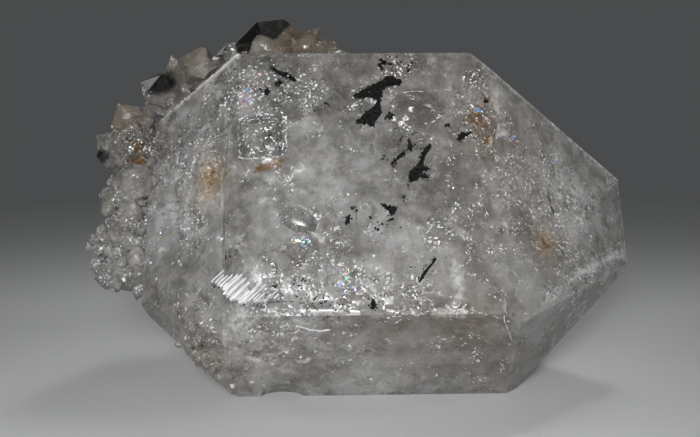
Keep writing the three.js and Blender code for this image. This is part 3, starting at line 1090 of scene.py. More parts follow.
@dataclass(frozen=True)
class Overhang:
    """Where the upper front face's ledge hangs over the end face to its left, in millimetres.

    Attributes:
        facing: the way the end face looks.
        out: its distance from the origin.
        end: where along X the ledge ends.
        past: how far past that it is still looked for.
        front: in front of which Y.
        heights: between which heights.
        skin: how far it may stand out.
        wall: over what width the end face rises to it.
    """

    facing: Point = (-0.618, -0.683, 0.388)
    out: float = 45.18
    end: float = -27.5
    past: float = 1.5
    front: float = -8.0
    heights: tuple[float, float] = (16.0, 62.0)
    skin: float = 0.2
    wall: float = 6.0

    def sinking(self, points_mm: np.ndarray) -> np.ndarray:
        """How far each point has to sink into the upper front face, for the ledge's end to slope.

        Args:
            points_mm: the points, one a row.

        Returns:
            The depths, in millimetres.
        """
        facing = np.array(self.facing)
        height = (points_mm @ facing - self.out) / (facing @ np.array(UPPER_FRONT.outwards))
        x, y, z = points_mm.T
        near = (x > self.end - self.past) & (y < self.front)
        near &= (z > self.heights[0]) & (z < self.heights[1])
        over = np.maximum(height - self.skin, 0.0)
        over = near * (over + np.minimum(over, 1.0))
        return over * (1.0 - eased(np.clip((x - self.end) / self.wall, 0.0, 1.0)))


@dataclass
class QuartzBody(Piece):
    """The main crystal with all that has grown on it, cut fine enough to carry its relief.

    Attributes:
        weld: how near two corners are when they are made one.
        pocket_reach: how far round a flake of anthraxolite its pocket is looked for, in millimetres.
        pocket_depths: between which depths its floor lies, in millimetres.
        broad_area_mm2: a plane of at least this much belongs to the main crystal.
        skin_depth_mm: what stands out of those planes by less belongs to it too.
        same_way: the cosine past which two faces look the same way.
        pitch: the width of the cuts along the crystal.
        fan: how many cuts are made round the crystal's own line.
        axis_height: how high that lies.
        swell_width, swell_height: the size of the broad hollows.
        step_width, step_height: the size of the growth steps.
        hillock_width, hillock_height: the size of the small hillocks.
        relief_margin: how far from the crystal's edges the relief has its full height.
        crease: past how many degrees an edge looks sharp.
        sharp_margin: how near to an edge of the crystal nothing is smoothed, in millimetres.
        foot_margin: up to what height nothing is smoothed, in millimetres.
    """

    weld: float = 0.005 * MM
    pocket_reach: float = 1.5
    pocket_depths: tuple[float, float] = (0.5, 2.5)
    broad_area_mm2: float = 120.0
    skin_depth_mm: float = 2.6
    same_way: float = 0.9999
    pitch: float = 1.5 * MM
    fan: int = 80
    axis_height: float = 34 * MM
    swell_width: float = 10.3 * MM
    swell_height: float = 1.8 * MM
    step_width: float = 6.3 * MM
    step_height: float = 0.5 * MM
    hillock_width: float = 3.2 * MM
    hillock_height: float = 0.25 * MM
    relief_margin: float = 2.4
    crease: float = 32.0
    sharp_margin: float = 1.3
    foot_margin: float = 1.0
    melting: int = 14

    def build(self) -> MeshObject:
        """Copies the solid, cuts it into small cells and roughens its broad faces."""
        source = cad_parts[QUARTZ_NODE]
        obj = bpy.data.objects.new("quartz", source.data.copy())
        bpy.context.scene.collection.objects.link(obj)
        pick(obj)
        bpy.ops.mesh.customdata_custom_splitnormals_clear()
        with editing(obj, "SELECT"):
            bpy.ops.mesh.mark_sharp(clear=True)
            bpy.ops.mesh.remove_doubles(threshold=0.002 * MM)
            bpy.ops.mesh.dissolve_limited(angle_limit=math.radians(0.6))
        self._close_pockets(obj)
        self._mark_broad(obj)
        self._slice(obj)
        self._refine(obj)
        self._soften(obj)
        write_attribute(obj, RIM, rim_distance(obj))
        self._melt_ledges(obj)
        self._roughen(obj)
        self._shade(obj)
        paint_qualities(obj)
        self.mesh_object = obj
        return obj

    def _close_pockets(self, obj: MeshObject) -> None:
        """Brings the floors of the anthraxolite's pockets up to the skin, which heals over them."""
        points = corners_mm(obj)
        across = points @ np.stack([(1.0, 0.0, 0.0), np.array(UPPER_FRONT.upwards)], axis=1)
        out = points @ np.array(UPPER_FRONT.outwards) - UPPER_FRONT.out
        near = np.zeros(len(points), bool)
        for node in PATCH_OUTLINES:
            low, high = (np.array(corner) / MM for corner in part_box(node))
            within_reach = (points > low - self.pocket_reach) & (points < high + self.pocket_reach)
            near |= np.all(within_reach, axis=1)
        deep = near & (out < -self.pocket_depths[0]) & (out > -self.pocket_depths[1])
        rims = np.nonzero(near & ~deep)[0]
        for i in np.nonzero(deep)[0]:
            gaps = np.linalg.norm(across[rims] - across[i], axis=1)
            obj.data.vertices[i].co = obj.data.vertices[rims[int(np.argmin(gaps))]].co
        with editing(obj, "SELECT"):
            bpy.ops.mesh.remove_doubles(threshold=self.weld)
            bpy.ops.mesh.dissolve_degenerate(threshold=self.weld)

    def _mark_broad(self, obj: MeshObject) -> None:
        """Gives the main crystal's faces and ledges their materials, and what stands out another."""
        mesh = obj.data
        mesh.materials.clear()
        normals = mesh_array(mesh.polygons, "normal")
        centres = mesh_array(mesh.polygons, "center") / MM
        areas = mesh_array(mesh.polygons, "area", 1) / MM**2
        outs = (normals * centres).sum(axis=1)
        totals: dict[tuple[int, ...], float] = {}
        planes: dict[tuple[int, ...], tuple[np.ndarray, float]] = {}
        for normal, out, area in zip(normals, outs, areas):
            # Faces in one plane have the same key.
            key = tuple(np.round([*(normal * 40), out * 2]).astype(int))
            totals[key] = totals.get(key, 0.0) + area
            planes[key] = (normal, out)
        height = np.full(len(areas), -1000.0)
        main = np.zeros(len(areas), bool)
        for key, (normal, out) in planes.items():
            if totals[key] > self.broad_area_mm2:
                height = np.maximum(height, centres @ normal - out)
                main |= normals @ normal > self.same_way
        growth = np.full(len(areas), Growth.CRYSTALS.value)
        growth[height < self.skin_depth_mm] = Growth.LEDGE.value
        growth[(height < self.skin_depth_mm) & main] = Growth.BROAD.value
        mesh.polygons.foreach_set("material_index", growth.astype(np.int32))

    def _slice(self, obj: MeshObject) -> None:
        """Cuts the mesh across and round the crystal."""
        low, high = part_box(QUARTZ_NODE)
        across = np.arange(low.x + self.pitch / 2, high.x, self.pitch)
        middle = Vector((0.0, 0.0, self.axis_height))
        with editing(obj):
            for x in across:
                bpy.ops.mesh.select_all(action="SELECT")
                bpy.ops.mesh.bisect(plane_co=(x, 0.0, 0.0), plane_no=(1.0, 0.0, 0.0))
            for i in range(self.fan):
                turn = math.pi * (i + 0.5) / self.fan
                way = (0.0, math.cos(turn), math.sin(turn))
                bpy.ops.mesh.select_all(action="SELECT")
                bpy.ops.mesh.bisect(plane_co=middle, plane_no=way)

    def _refine(self, obj: MeshObject) -> None:
        """Halves the cells of the broad faces, and parts every face into triangles."""
        with editing(obj):
            choose_faces(obj, lambda face: face.material_index != Growth.CRYSTALS.value)
            bpy.ops.mesh.subdivide(number_cuts=1)
            bpy.ops.mesh.select_all(action="SELECT")
            bpy.ops.mesh.quads_convert_to_tris(quad_method="BEAUTY", ngon_method="BEAUTY")

    def _soften(self, obj: MeshObject) -> None:
        """Rounds the edges that growth has covered, and lets a ledge's end slope down."""
        points = corners_mm(obj)
        points -= Overhang().sinking(points)[:, None] * np.array(UPPER_FRONT.outwards)
        obj.data.vertices.foreach_set("co", (points * MM).ravel())
        obj.data.update()
        for edge, repeats in OVERGROWN_EDGES:
            self._smooth(obj, within([edge], points), repeats)

    @staticmethod
    def _smooth(obj: MeshObject, wanted: np.ndarray, repeats: int) -> None:
        """Smooths some corners.

        Args:
            obj: the object.
            wanted: a truth value for each corner.
            repeats: how often they are smoothed.
        """
        with editing(obj):
            shape = bmesh.from_edit_mesh(obj.data)
            for corner, chosen in zip(shape.verts, wanted):
                corner.select = bool(chosen)
            bmesh.update_edit_mesh(obj.data)
            bpy.ops.mesh.select_mode(type="VERT")
            bpy.ops.mesh.vertices_smooth(factor=0.5, repeat=repeats)

    def _melt_ledges(self, obj: MeshObject) -> None:
        """Lets the ledges flow into the faces they stand on, but not near the crystal's edges."""
        corners, kinds = face_corners(obj.data)
        points = corners_mm(obj)
        grown = np.zeros(len(points), bool)
        grown[corners[kinds == Growth.CRYSTALS.value]] = True
        sharp = read_attribute(obj, RIM) < self.sharp_margin
        sharp &= ~within([edge for edge, _ in OVERGROWN_EDGES], points)
        kept = grown | sharp | (points[:, 2] < self.foot_margin)
        kept |= Panel(SQUARE_CRYSTAL, soft=0.1).weight(points) > 0.0
        self._smooth(obj, ~kept, 3 * self.melting)

    def _roughen(self, obj: MeshObject) -> None:
        """Raises growth steps and hillocks on the broad faces, away from their edges."""
        weights = self._inland(obj) * self._roughness(obj)
        group = obj.vertex_groups.new(name=RELIEF)
        levels = np.round(weights * RELIEF_LEVELS).astype(int)
        for level in range(1, RELIEF_LEVELS + 1):
            chosen = np.nonzero(levels == level)[0]
            if len(chosen):
                group.add(chosen.tolist(), level / RELIEF_LEVELS, "REPLACE")
        displace(
            obj, "CLOUDS", self.swell_width, self.swell_height, level=0.8, group=RELIEF,
            noise_basis="IMPROVED_PERLIN", noise_depth=1,
        )
        displace(
            obj, "CLOUDS", self.step_width, self.step_height, level=0.5, group=RELIEF,
            shelves=SHELVES, noise_basis="IMPROVED_PERLIN", noise_depth=2,
        )
        displace(
            obj, "VORONOI", self.hillock_width, -self.hillock_height, level=0.5,
            group=RELIEF, distance_metric="MANHATTAN",
        )

    def _shade(self, obj: MeshObject) -> None:
        """Shades it smoothly, but for its sharp edges."""
        with editing(obj, "SELECT"):
            bpy.ops.mesh.faces_shade_smooth()
            bpy.ops.mesh.select_all(action="DESELECT")
            bpy.ops.mesh.select_mode(type="EDGE")
            bpy.ops.mesh.edges_select_sharp(sharpness=math.radians(self.crease))
            bpy.ops.mesh.mark_sharp()

    def _inland(self, obj: MeshObject) -> np.ndarray:
        """How far each corner lies from edges and from grown crystals: 0 on them, rising to 1."""
        corners, kinds = face_corners(obj.data)
        count = len(obj.data.vertices)
        faces = np.bincount(corners, minlength=count)
        broad = np.bincount(corners, kinds != Growth.CRYSTALS.value, count) > faces - 0.5
        level = broad * np.clip(read_attribute(obj, RIM) / self.relief_margin, 0.0, 1.0)
        edges = mesh_array(obj.data.edges, "vertices", 2).astype(int)
        for _ in range(4):
            lowest = level.copy()
            np.minimum.at(lowest, edges[:, 0], level[edges[:, 1]])
            np.minimum.at(lowest, edges[:, 1], level[edges[:, 0]])
            level = (level + lowest) / 2
        return level * broad

    @staticmethod
    def _roughness(obj: MeshObject) -> np.ndarray:
        """How rough the crystal is at each corner, from 0 to 1."""
        points = corners_mm(obj)
        rough = np.maximum(LEAST_ROUGH, strongest(ROUGH, points))
        for spot in FLAT:
            rough *= 1 - spot.weight(points)
        rough[points[:, 2] < FOOT_SKIN] = 0.0
        return np.clip(rough, 0.0, 1.0)

    def dress(self) -> None:
        """Gives the body its two finishes."""
        crystals = QuartzFinish(
            "clear_quartz", haze=0.3, cloud=0.2, block=1.5, block_tilt=0.26, grain_tilt=0.24,
            bustle=0.4, glow=0.0, polish=0.08,
        ).make()
        included = QuartzFinish("included_quartz").make()
        self.settle(crystals, included, included)


def rim_distance(obj: MeshObject, sharp: float = 20.0) -> np.ndarray:
    """How far each corner lies from the nearest sharp edge of a broad face.

    Args:
        obj: the piece, whose broad faces have the material of Growth.BROAD.
        sharp: the angle past which an edge is sharp, in degrees.

    Returns:
        The distances in millimetres, up to FAR_FROM_RIM.
    """
    shape = bmesh.new()
    shape.from_mesh(obj.data)
    limit = math.radians(sharp)
    on_edges = []
    for edge in shape.edges:
        if len(edge.link_faces) != 2 or edge.calc_face_angle() < limit:
            continue
        if all(face.material_index == Growth.BROAD.value for face in edge.link_faces):
            first, second = (corner.co for corner in edge.verts)
            on_edges.extend(first.lerp(second, t) for t in (0.0, 0.33, 0.67, 1.0))
    shape.free()
    tree = KDTree(len(on_edges))
    for i, point in enumerate(on_edges):
        tree.insert(point, i)
    tree.balance()
    away = [tree.find(corner.co)[2] / MM for corner in obj.data.vertices]
    return np.minimum(np.array(away), FAR_FROM_RIM)


# The relief: its vertex group, how many strengths it has, and the shades of the noise at which the
# growth steps rise.
RELIEF = "relief"
RELIEF_LEVELS = 10
SHELVES = (0.0, 0.42, 0.5, 0.58, 0.66)
# The edges of the upper front face that growth has rounded off: its left and its right.
OVERGROWN_EDGES = (
    (Streak((-22.2, -10, 64), (-26.2, -34.4, 18.9), 6.5), 30),
    (Streak((25.8, -12, 60), (25.8, -32.5, 24), 3.2), 16),
)
# How rough the main crystal is from 0 to 1: everywhere, where growth has left it roughest, and where
# its front is flat. Its foot is flat up to FOOT_SKIN millimetres above the table.
LEAST_ROUGH = 0.25
FOOT_SKIN = 0.3
ROUGH = (
    Spot((-16, -20, 50), 22), Spot((-36, -12, 40), 22, 0.9), Spot((2, -26, 34), 20, 0.75),
    Spot((-28, -24, 14), 14, 0.7), Spot((-8, -28, 12), 14, 0.45), Spot((30, -18, 42), 14, 0.5),
    Spot((44, -12, 30), 12, 0.5), Spot((5, 24, 30), 24, 0.7), Spot((-20, 20, 60), 18, 0.8),
)
FLAT = (
    Spot((-2.5, -13.5, 57), 7.5), Spot((2.5, -17.5, 50), 7), Spot((11, -21.5, 44), 9),
    Spot((20.5, -18.5, 51), 5), Spot((5, -26.5, 34.5), 6.5), Spot((-2, -28, 32), 5),
    Spot((-15, -12.5, 58.5), 5), Spot((-23, -33, 22.5), 9), Spot((-19.5, -17.5, 50.5), 8),
    Spot((12, -32.5, 25.5), 6), Spot((-18, -20.5, 45.5), 4), Spot((-7.3, -20.5, 46.5), 5, 0.8),
    Streak((-25, -13, 60), (-26.2, -31, 27), 2.6),
)


# -------- small crystals


@dataclass(frozen=True)
class SmallCrystal:
    """One of the few shapes that the small crystals have, a unit or so tall, with its foot at zero.

    Attributes:
        radius: of its six-sided shaft.
        shaft: the shaft's length.
        tip: the height of the point over it.
        lean: how far the point stands to one side.
        cut: how much of one side is grown into its neighbour, as a share of the radius.
    """

    radius: float
    shaft: float
    tip: float
    lean: float = 0.0
    cut: float = 0.0

    def model(self) -> Outline:
        """Models it: a six-sided shaft, drawn out to a point and cut on one side."""
        obj = primitive(
            bpy.ops.mesh.primitive_cylinder_add, vertices=6, radius=self.radius, depth=self.shaft,
            location=(0, 0, self.shaft / 2),
        )
        obj.data.transform(Matrix.Translation((0, 0, self.shaft / 2)))
        obj.location = (0, 0, 0)
        with editing(obj):
            choose_faces(obj, lambda face: face.normal.z > 0.9)
            bpy.ops.mesh.extrude_region_move(
                TRANSFORM_OT_translate={"value": (self.lean, self.lean / 2, self.tip)}
            )
            bpy.ops.mesh.merge(type="CENTER")
            if self.cut:
                bpy.ops.mesh.select_all(action="SELECT")
                bpy.ops.mesh.bisect(
                    plane_co=(self.radius * (1 - self.cut), 0, 0), plane_no=(0.9, 0.3, 0.25),
                    use_fill=True, clear_outer=True,
                )
        return Outline.take(obj)


@dataclass(frozen=True)
class Grain:
    """A rounded, many-sided grain about a unit across.

    Attributes:
        wobble: how far its corners are pushed about.
        seed: fixes how.
    """

    wobble: float = 0.16
    seed: int = 1

    def model(self) -> Outline:
        """Models it: a ball of twenty faces, pushed out of round."""
        obj = primitive(bpy.ops.mesh.primitive_ico_sphere_add, subdivisions=1, radius=0.5)
        with editing(obj, "SELECT"):
            bpy.ops.transform.vertex_random(offset=self.wobble, normal=0.4, seed=self.seed)
        return Outline.take(obj)


@dataclass(frozen=True)
class Growing:
    """A part of the surface that small things have grown on, in millimetres.

    Attributes:
        middle: its middle.
        reach: how far out they thin away.
        count: how many there are.
        least: the smallest one's size.
        most: the largest one's.
        lean: how far they may lean from straight out, in radians.
    """

    middle: Point
    reach: float
    count: int
    least: float
    most: float
    lean: float = 0.7


# The larger crystals, on which nothing grows.
BARE = (
    Spot((-18.8, 5, 71), 8.5), Spot((-10.5, 3, 70.5), 5), Spot((-43.4, 3, 60), 7.5),
    Spot((-36.5, 5, 65), 7), Spot((-51.5, 3, 54), 5.5), Spot((-26.6, 4, 69), 3.2),
    Spot((-55, 3, 46.5), 3.5), Spot((11, -12.6, 55.7), 5.5), Spot((-12.4, -25, 36.2), 3.6),
    Spot((-19.5, -17, 50.5), 6.3), Spot((-8, -19.5, 47), 8), Spot((7, -27.5, 32.5), 7.5),
)


@dataclass
class Skin:
    """The quartz's own outside, as places where something may sit.

    Attributes:
        samples: how many places are drawn.
        seed: fixes which.
        points: the places, in millimetres.
        normals: the way the quartz faces there.
        barred: whether nothing may sit there.
        tree: the quartz's surface, for finding a place on it.
    """

    samples: int = 90000
    seed: int = 7
    points: np.ndarray = field(init=False)
    normals: np.ndarray = field(init=False)
    barred: np.ndarray = field(init=False)
    tree: BVHTree = field(init=False)

    def build(self, quartz: MeshObject) -> "Skin":
        """Draws places evenly over the quartz, but for its foot.

        Args:
            quartz: the finished body.
        """
        mesh = quartz.data
        self.tree = BVHTree.FromObject(quartz, bpy.context.evaluated_depsgraph_get())
        dice = np.random.default_rng(self.seed)
        corners = corners_mm(quartz)
        loops = mesh_array(mesh.polygons, "vertices", 3).astype(int)
        areas = mesh_array(mesh.polygons, "area", 1)
        facing = mesh_array(mesh.polygons, "normal")
        chosen = dice.choice(len(areas), self.samples, p=areas / areas.sum())
        first, second = dice.random((2, self.samples))
        folded = first + second > 1
        first[folded], second[folded] = 1 - first[folded], 1 - second[folded]
        a, b, c = (corners[loops[chosen, i]] for i in range(3))
        points = a + (b - a) * first[:, None] + (c - a) * second[:, None]
        kept = points[:, 2] > 1.2
        self.points, self.normals = points[kept], facing[chosen][kept]
        self.barred = within(BARE, self.points)
        return self

    def under(self, place_mm: Vector, outwards: Vector) -> Vector:
        """The point of the skin that lies straight under or over a place.

        Args:
            place_mm: the place, in millimetres.
            outwards: the way out of the quartz there.

        Returns:
            The point, in metres.
        """
        start = (place_mm + outwards * 4.0) * MM
        hit, _, _, _ = self.tree.ray_cast(start, -outwards)
        return hit if hit is not None else place_mm * MM

    def draw(self, patch: Growing, dice: np.random.Generator) -> Iterator[tuple[Vector, Vector]]:
        """Draws places in one patch.

        Args:
            patch: where, and how many.
            dice: the source of chance.

        Returns:
            Each place in metres with the way it faces.
        """
        weights = Spot(patch.middle, patch.reach).weight(self.points)
        weights[weights < 0.05] = 0.0
        weights[self.barred] = 0.0
        count = min(patch.count, int(np.count_nonzero(weights)))
        if not count:
            return
        chosen = dice.choice(len(weights), count, replace=False, p=weights / weights.sum())
        for i in chosen:
            yield Vector(self.points[i]) * MM, Vector(self.normals[i])


@dataclass
class Druse(Piece):
    """The small crystals and grains that cover the left end, its top and patches elsewhere.

    Attributes:
        name: the piece's name.
        patches: where they grow.
        grains: the share of them that are rounded grains.
        seed: fixes the dice.
        haze: the least share of cloud in them.
    """

    name: str
    patches: tuple[Growing, ...]
    grains: float = 0.35
    seed: int = 21
    haze: float = 0.3

    def build(self, skin: Skin) -> None:
        """Models the shapes and sets them in the skin.

        Args:
            skin: what they grow on.
        """
        dice = np.random.default_rng(self.seed)
        crystals = [
            SmallCrystal(0.34, 0.55, 0.4).model(),
            SmallCrystal(0.42, 0.4, 0.42, lean=0.1).model(),
            SmallCrystal(0.3, 0.7, 0.35, lean=-0.08, cut=0.35).model(),
            SmallCrystal(0.46, 0.3, 0.3, lean=0.06, cut=0.25).model(),
        ]
        balls = [Grain(seed=seed).model() for seed in (1, 2, 3)]
        swarm = Swarm(self.name)
        for patch in self.patches:
            for place, outwards in skin.draw(patch, dice):
                size = MM * (patch.least + (patch.most - patch.least) * dice.random() ** 2)
                lean = Vector(dice.normal(0.0, 0.55 * patch.lean, 3))
                way = (outwards + lean).normalized()
                spin = dice.uniform(0.0, math.tau)
                stretch = Vector((dice.uniform(0.8, 1.15), dice.uniform(0.7, 1.1), 1.0)) * size
                if dice.random() < self.grains:
                    shape = balls[dice.integers(len(balls))]
                    foot = place + outwards * 0.1 * size
                else:
                    shape = crystals[dice.integers(len(crystals))]
                    foot = place - outwards * 0.45 * size
                if foot.z > 1.1 * size:
                    swarm.add(shape, aimed(foot, way, spin, stretch))
        self.mesh_object = swarm.build()
        keep_from_rims(self.mesh_object)
        paint_qualities(self.mesh_object)

    def dress(self) -> None:
        """Gives them quartz of their own, a little cloudier than the large crystal's."""
        finish = QuartzFinish(
            self.name, haze=self.haze, cloud=0.2, block=1.1, block_tilt=0.3, grain=0.45,
            grain_tilt=0.3, bustle=0.7, glow=0.0, glitter=0.06,
        )
        self.settle(finish.make())


@dataclass
class LensCrystal(Piece):
    """The smooth, clear, lens-shaped crystal grown onto the upper front face.

    Attributes:
        along: where its middle lies along the face, in millimetres.
        up: how far up the face.
        size: its length, width and thickness.
        slope: the way its length runs, in degrees from along the face.
    """

    along: float = -28.8
    up: float = 18.8
    size: Point = (7.8, 4.5, 2.4)
    slope: float = -24.0

    def build(self, skin: Skin) -> None:
        """Models it as a flattened ball with its underside cut flat.

        Args:
            skin: what it has grown on.
        """
        obj = primitive(
            bpy.ops.mesh.primitive_uv_sphere_add, segments=36, ring_count=18, radius=0.5
        )
        with editing(obj, "SELECT"):
            bpy.ops.mesh.bisect(
                plane_co=(0.0, 0.0, -0.3), plane_no=(0.0, 0.0, 1.0), clear_inner=True, use_fill=True
            )
            bpy.ops.mesh.select_all(action="SELECT")
            bpy.ops.mesh.faces_shade_smooth()
        middle = skin.under(UPPER_FRONT.at(self.along, self.up), UPPER_FRONT.outwards)
        lay = UPPER_FRONT.turn @ Matrix.Rotation(math.radians(self.slope), 3, "Z")
        lay = (lay @ Matrix.Diagonal(Vector(self.size) * MM)).to_4x4()
        obj.data.transform(Matrix.Translation(middle) @ lay)
        obj.name = obj.data.name = "lens_crystal"
        keep_from_rims(obj)
        self.mesh_object = obj

    def dress(self) -> None:
        """Gives it the clearest quartz."""
        finish = QuartzFinish(
            "lens_crystal", haze=0.08, cloud=0.1, block_tilt=0.03, grain_tilt=0.0, bustle=0.0,
            glow=0.0, polish=0.04,
        )
        self.settle(finish.make())


@dataclass(frozen=True)
class Lump:
    """A rounded swelling, in millimetres and degrees.

    Attributes:
        middle: its middle.
        size: its width, depth and height before it is turned.
        lean: how far it is turned clockwise, seen from the front.
    """

    middle: Point
    size: Point
    lean: float = 0.0

    def model(self) -> MeshObject:
        """Models it as a ball, stretched and put in its place."""
        obj = primitive(bpy.ops.mesh.primitive_ico_sphere_add, subdivisions=5, radius=0.5)
        turn = Quaternion((0.0, 1.0, 0.0), math.radians(self.lean))
        size = Vector(self.size) * MM
        obj.data.transform(Matrix.LocRotScale(Vector(self.middle) * MM, turn, size))
        return obj


@dataclass
class LumpyGrowth(Piece):
    """The smooth, glassy swellings of the mass on the left end.

    Attributes:
        lumps: where they swell.
        ripple_width: how broad the ripples in their skin are.
        ripple_height: how far those draw it in and out.
    """

    lumps: tuple[Lump, ...]
    ripple_width: float = 2.7 * MM
    ripple_height: float = 1.5 * MM

    def build(self) -> None:
        """Models the lumps, joins them and ripples their skin."""
        obj = joined("left_lumps", [lump.model() for lump in self.lumps])
        displace(
            obj, "CLOUDS", self.ripple_width, self.ripple_height, level=0.6,
            noise_basis="IMPROVED_PERLIN", noise_depth=1,
        )
        with editing(obj, "SELECT"):
            bpy.ops.mesh.faces_shade_smooth()
        keep_from_rims(obj)
        self.mesh_object = obj

    def dress(self) -> None:
        """Gives them clear quartz with a little haze."""
        finish = QuartzFinish(
            "left_lumps", haze=0.34, cloud=0.3, block=2.6, block_tilt=0.14, grain_tilt=0.26,
            bustle=0.6, glow=0.0, polish=0.05, shade=(0.33, 0.31, 0.27, 1.0), milk=grey(0.52, 0.04),
        )
        self.settle(finish.make())


LEFT_LUMPS = (
    Lump((-55, -1.5, 29.5), (3.4, 5, 4.8)), Lump((-50.5, -5.5, 22), (10.5, 8, 6.6), -6),
    Lump((-49, -5.5, 32), (7, 6, 11), 20), Lump((-46.5, -4, 41), (8, 6, 8), 30),
    Lump((-52.5, -2, 37), (4, 5, 8), 28), Lump((-46, -9.5, 25), (5, 5, 7)),
    Lump((-53, -3, 26), (5, 6, 6)),
)
LEFT_END = (
    Growing((-50, 0, 38), 12, 40, 1.2, 2.6, 0.8), Growing((-50, -4, 25), 9, 40, 1.2, 2.6, 0.9),
    Growing((-44, 10, 40), 14, 120, 1.6, 4.4, 0.8), Growing((-33, -25, 9), 7, 90, 0.9, 2.6, 1),
)
FINE_GROWTH = (
    Growing((-46, -2, 50), 6, 150, 0.5, 1.5, 1.2), Growing((-42, -8, 36), 10, 240, 0.5, 1.5, 1.2),
    Growing((-36, -10, 44), 9, 200, 0.4, 1.2, 1.2), Growing((-25, -8, 59), 7, 260, 0.4, 1.2, 1.2),
    Growing((-12, -10, 61), 5, 90, 0.4, 1, 1.2), Growing((-4, -30, 27), 5, 60, 0.4, 1, 1.2),
    Growing((-26, -27, 12), 9, 160, 0.4, 1.4, 1.2), Growing((-14, 29, 40), 17, 340, 0.7, 2.2, 1),
    Growing((-36, 18, 28), 15, 280, 0.8, 2.8, 1), Growing((18, 28, 26), 12, 100, 0.5, 1.6, 1),
)


# -------- glitter: painted glints


class Glow(Enum):
    """The sorts of bright film in cracks just under the skin, shown by coloured plates: painted glints.
    """

    WHITE = "white_glitter"
    WARM = "warm_glitter"
    RAINBOW = "rainbow_glitter"


@dataclass
class Glitter(Piece):
    """Tiny bright plates in the skin, in clusters, one piece for each sort: painted glints.

    Attributes:
        sort: which sort they are.
        clusters: where they crowd, in millimetres, with how many there are.
        lean: how far they turn out of the surface, in radians.
        seed: fixes the dice.
    """

    sort: Glow
    clusters: tuple[Growing, ...]
    lean: float = 0.75
    seed: int = 31

    def build(self, skin: Skin) -> None:
        """Models one plate and sets its copies in the skin.

        Args:
            skin: what they lie in.
        """
        dice = np.random.default_rng(self.seed)
        plate = Outline.take(
            primitive(bpy.ops.mesh.primitive_circle_add, vertices=5, radius=0.5, fill_type="NGON")
        )
        swarm = Swarm(self.sort.value)
        for cluster in self.clusters:
            for place, outwards in skin.draw(cluster, dice):
                size = MM * (cluster.least + (cluster.most - cluster.least) * dice.random() ** 4)
                way = (outwards + Vector(dice.normal(0.0, self.lean * 0.6, 3))).normalized()
                stretch = Vector((size * 1.5, size * dice.uniform(0.1, 0.5), size))
                lift = 0.0001 + 0.12 * size
                swarm.add(plate, aimed(place + outwards * lift, way, dice.uniform(0, ANY_TURN), stretch))
        self.mesh_object = swarm.build()

    def dress(self) -> None:
        """Gives the plates their finish."""
        self.settle(GLITTER_FINISHES[self.sort].make())


# Bright, warm and rainbow colours that stand for glints: painted glints.
GLITTER_FINISHES = {
    Glow.WHITE: GlitterFinish("white_glitter", grey(0.9, 0.01), 0.1, 0.12, 0.0, dimming=1.0),
    Glow.WARM: GlitterFinish("warm_glitter", (0.9, 0.55, 0.25, 1.0), 0.3, 0.3, 0.25),
    Glow.RAINBOW: GlitterFinish("rainbow_glitter", grey(0.95), 0.6, 0.35, 0.9),
}


def clusters(
    places: Sequence[Point], reach: float, count: int, least: float, most: float
) -> tuple[Growing, ...]:
    """Patches at several places that are otherwise alike, as Growing describes them."""
    return tuple(Growing(place, reach, count, least, most) for place in places)


# Where the painted glints crowd: their places, reach, count and sizes.
BRIGHT_CLUSTERS = clusters(
    (
        (23.8, -10.4, 62.8), (30.3, -16.3, 46), (30.6, -22.6, 34.4), (20.6, -25, 37), (24.5, -26, 35.3),
        (17.6, -26.2, 34.9), (11.4, -9.5, 64.3), (0.8, -13.2, 57.8), (9.2, -32.7, 23.5),
        (6.8, -34.5, 20.4), (-12.4, -26.1, 35.1), (-34.8, -14.2, 35.3), (-34.1, -17.2, 31.4),
        (-3.9, -31, 26.5), (-29.9, -3.8, 61.6), (-49.5, -1, 44), (-21.9, -21.9, 42.5),
        (-28.1, -11.8, 50.5), (-6.2, -23.1, 40.4), (-10.8, -11.8, 60.3), (44.1, -9.6, 37.7),
        (45, -10.6, 34.7), (48.4, -5.2, 39.2), (38.4, -10.1, 45.1), (-2.2, -27.9, 32),
        (19.9, -33.2, 22.7), (-19.6, -11.3, 61.3), (5.3, -27.4, 32.8),
    ),
    1.6, 26, 0.1, 0.7,
)
SPRINKLED = (
    Growing((-26, -13, 55), 12, 300, 0.08, 0.5), Growing((-6, -29, 29), 9, 60, 0.08, 0.45),
    Growing((18, -25, 36), 10, 110, 0.08, 0.45), Growing((24, -15, 54), 9, 120, 0.08, 0.4),
    Growing((40, -13, 36), 12, 380, 0.08, 0.45), Growing((0, -20, 46), 22, 300, 0.08, 0.3),
    Growing((-20, -26, 34), 14, 220, 0.08, 0.35), Growing((-19.5, -17, 50.5), 3.6, 60, 0.15, 0.6),
    Growing((-38, -10, 42), 12, 400, 0.1, 0.5), Growing((-52, 0, 35), 11, 560, 0.12, 0.6),
    Growing((-50, -4, 24), 9, 300, 0.12, 0.6), Growing((42, -18, 20), 8, 90, 0.08, 0.35),
    Growing((30, -25, 12), 14, 80, 0.08, 0.35), Growing((4, -28, 12), 14, 50, 0.08, 0.3),
    Growing((-24, -28, 12), 12, 360, 0.1, 0.5), Growing((0, 10, 66), 40, 400, 0.1, 0.45),
    Growing((0, 28, 40), 40, 700, 0.1, 0.45),
)
WARM_CLUSTERS = clusters(
    (
        (24.8, -16.8, 51.6), (23.8, -15, 54.6), (21.9, -13.9, 56.5), (25.5, -18, 49.4),
    ),
    2, 26, 0.15, 0.6,
)
RAINBOW_CLUSTERS = clusters(
    (
        (-22.2, -11.9, 60.1), (-3.4, -30.7, 27), (-10.9, -27.6, 32.5), (-2.5, -32.2, 24.4),
        (-49, -3, 29), (-40.5, -11.2, 31.3), (30.6, -13.7, 50), (41.3, -7.9, 44.9),
        (-22.3, -12.8, 58.3), (24, -13.7, 56.9), (-19.6, -10.7, 62.2), (-3.8, -31.5, 25.8),
    ),
    0.8, 26, 0.35, 1,
)


# -------- threads


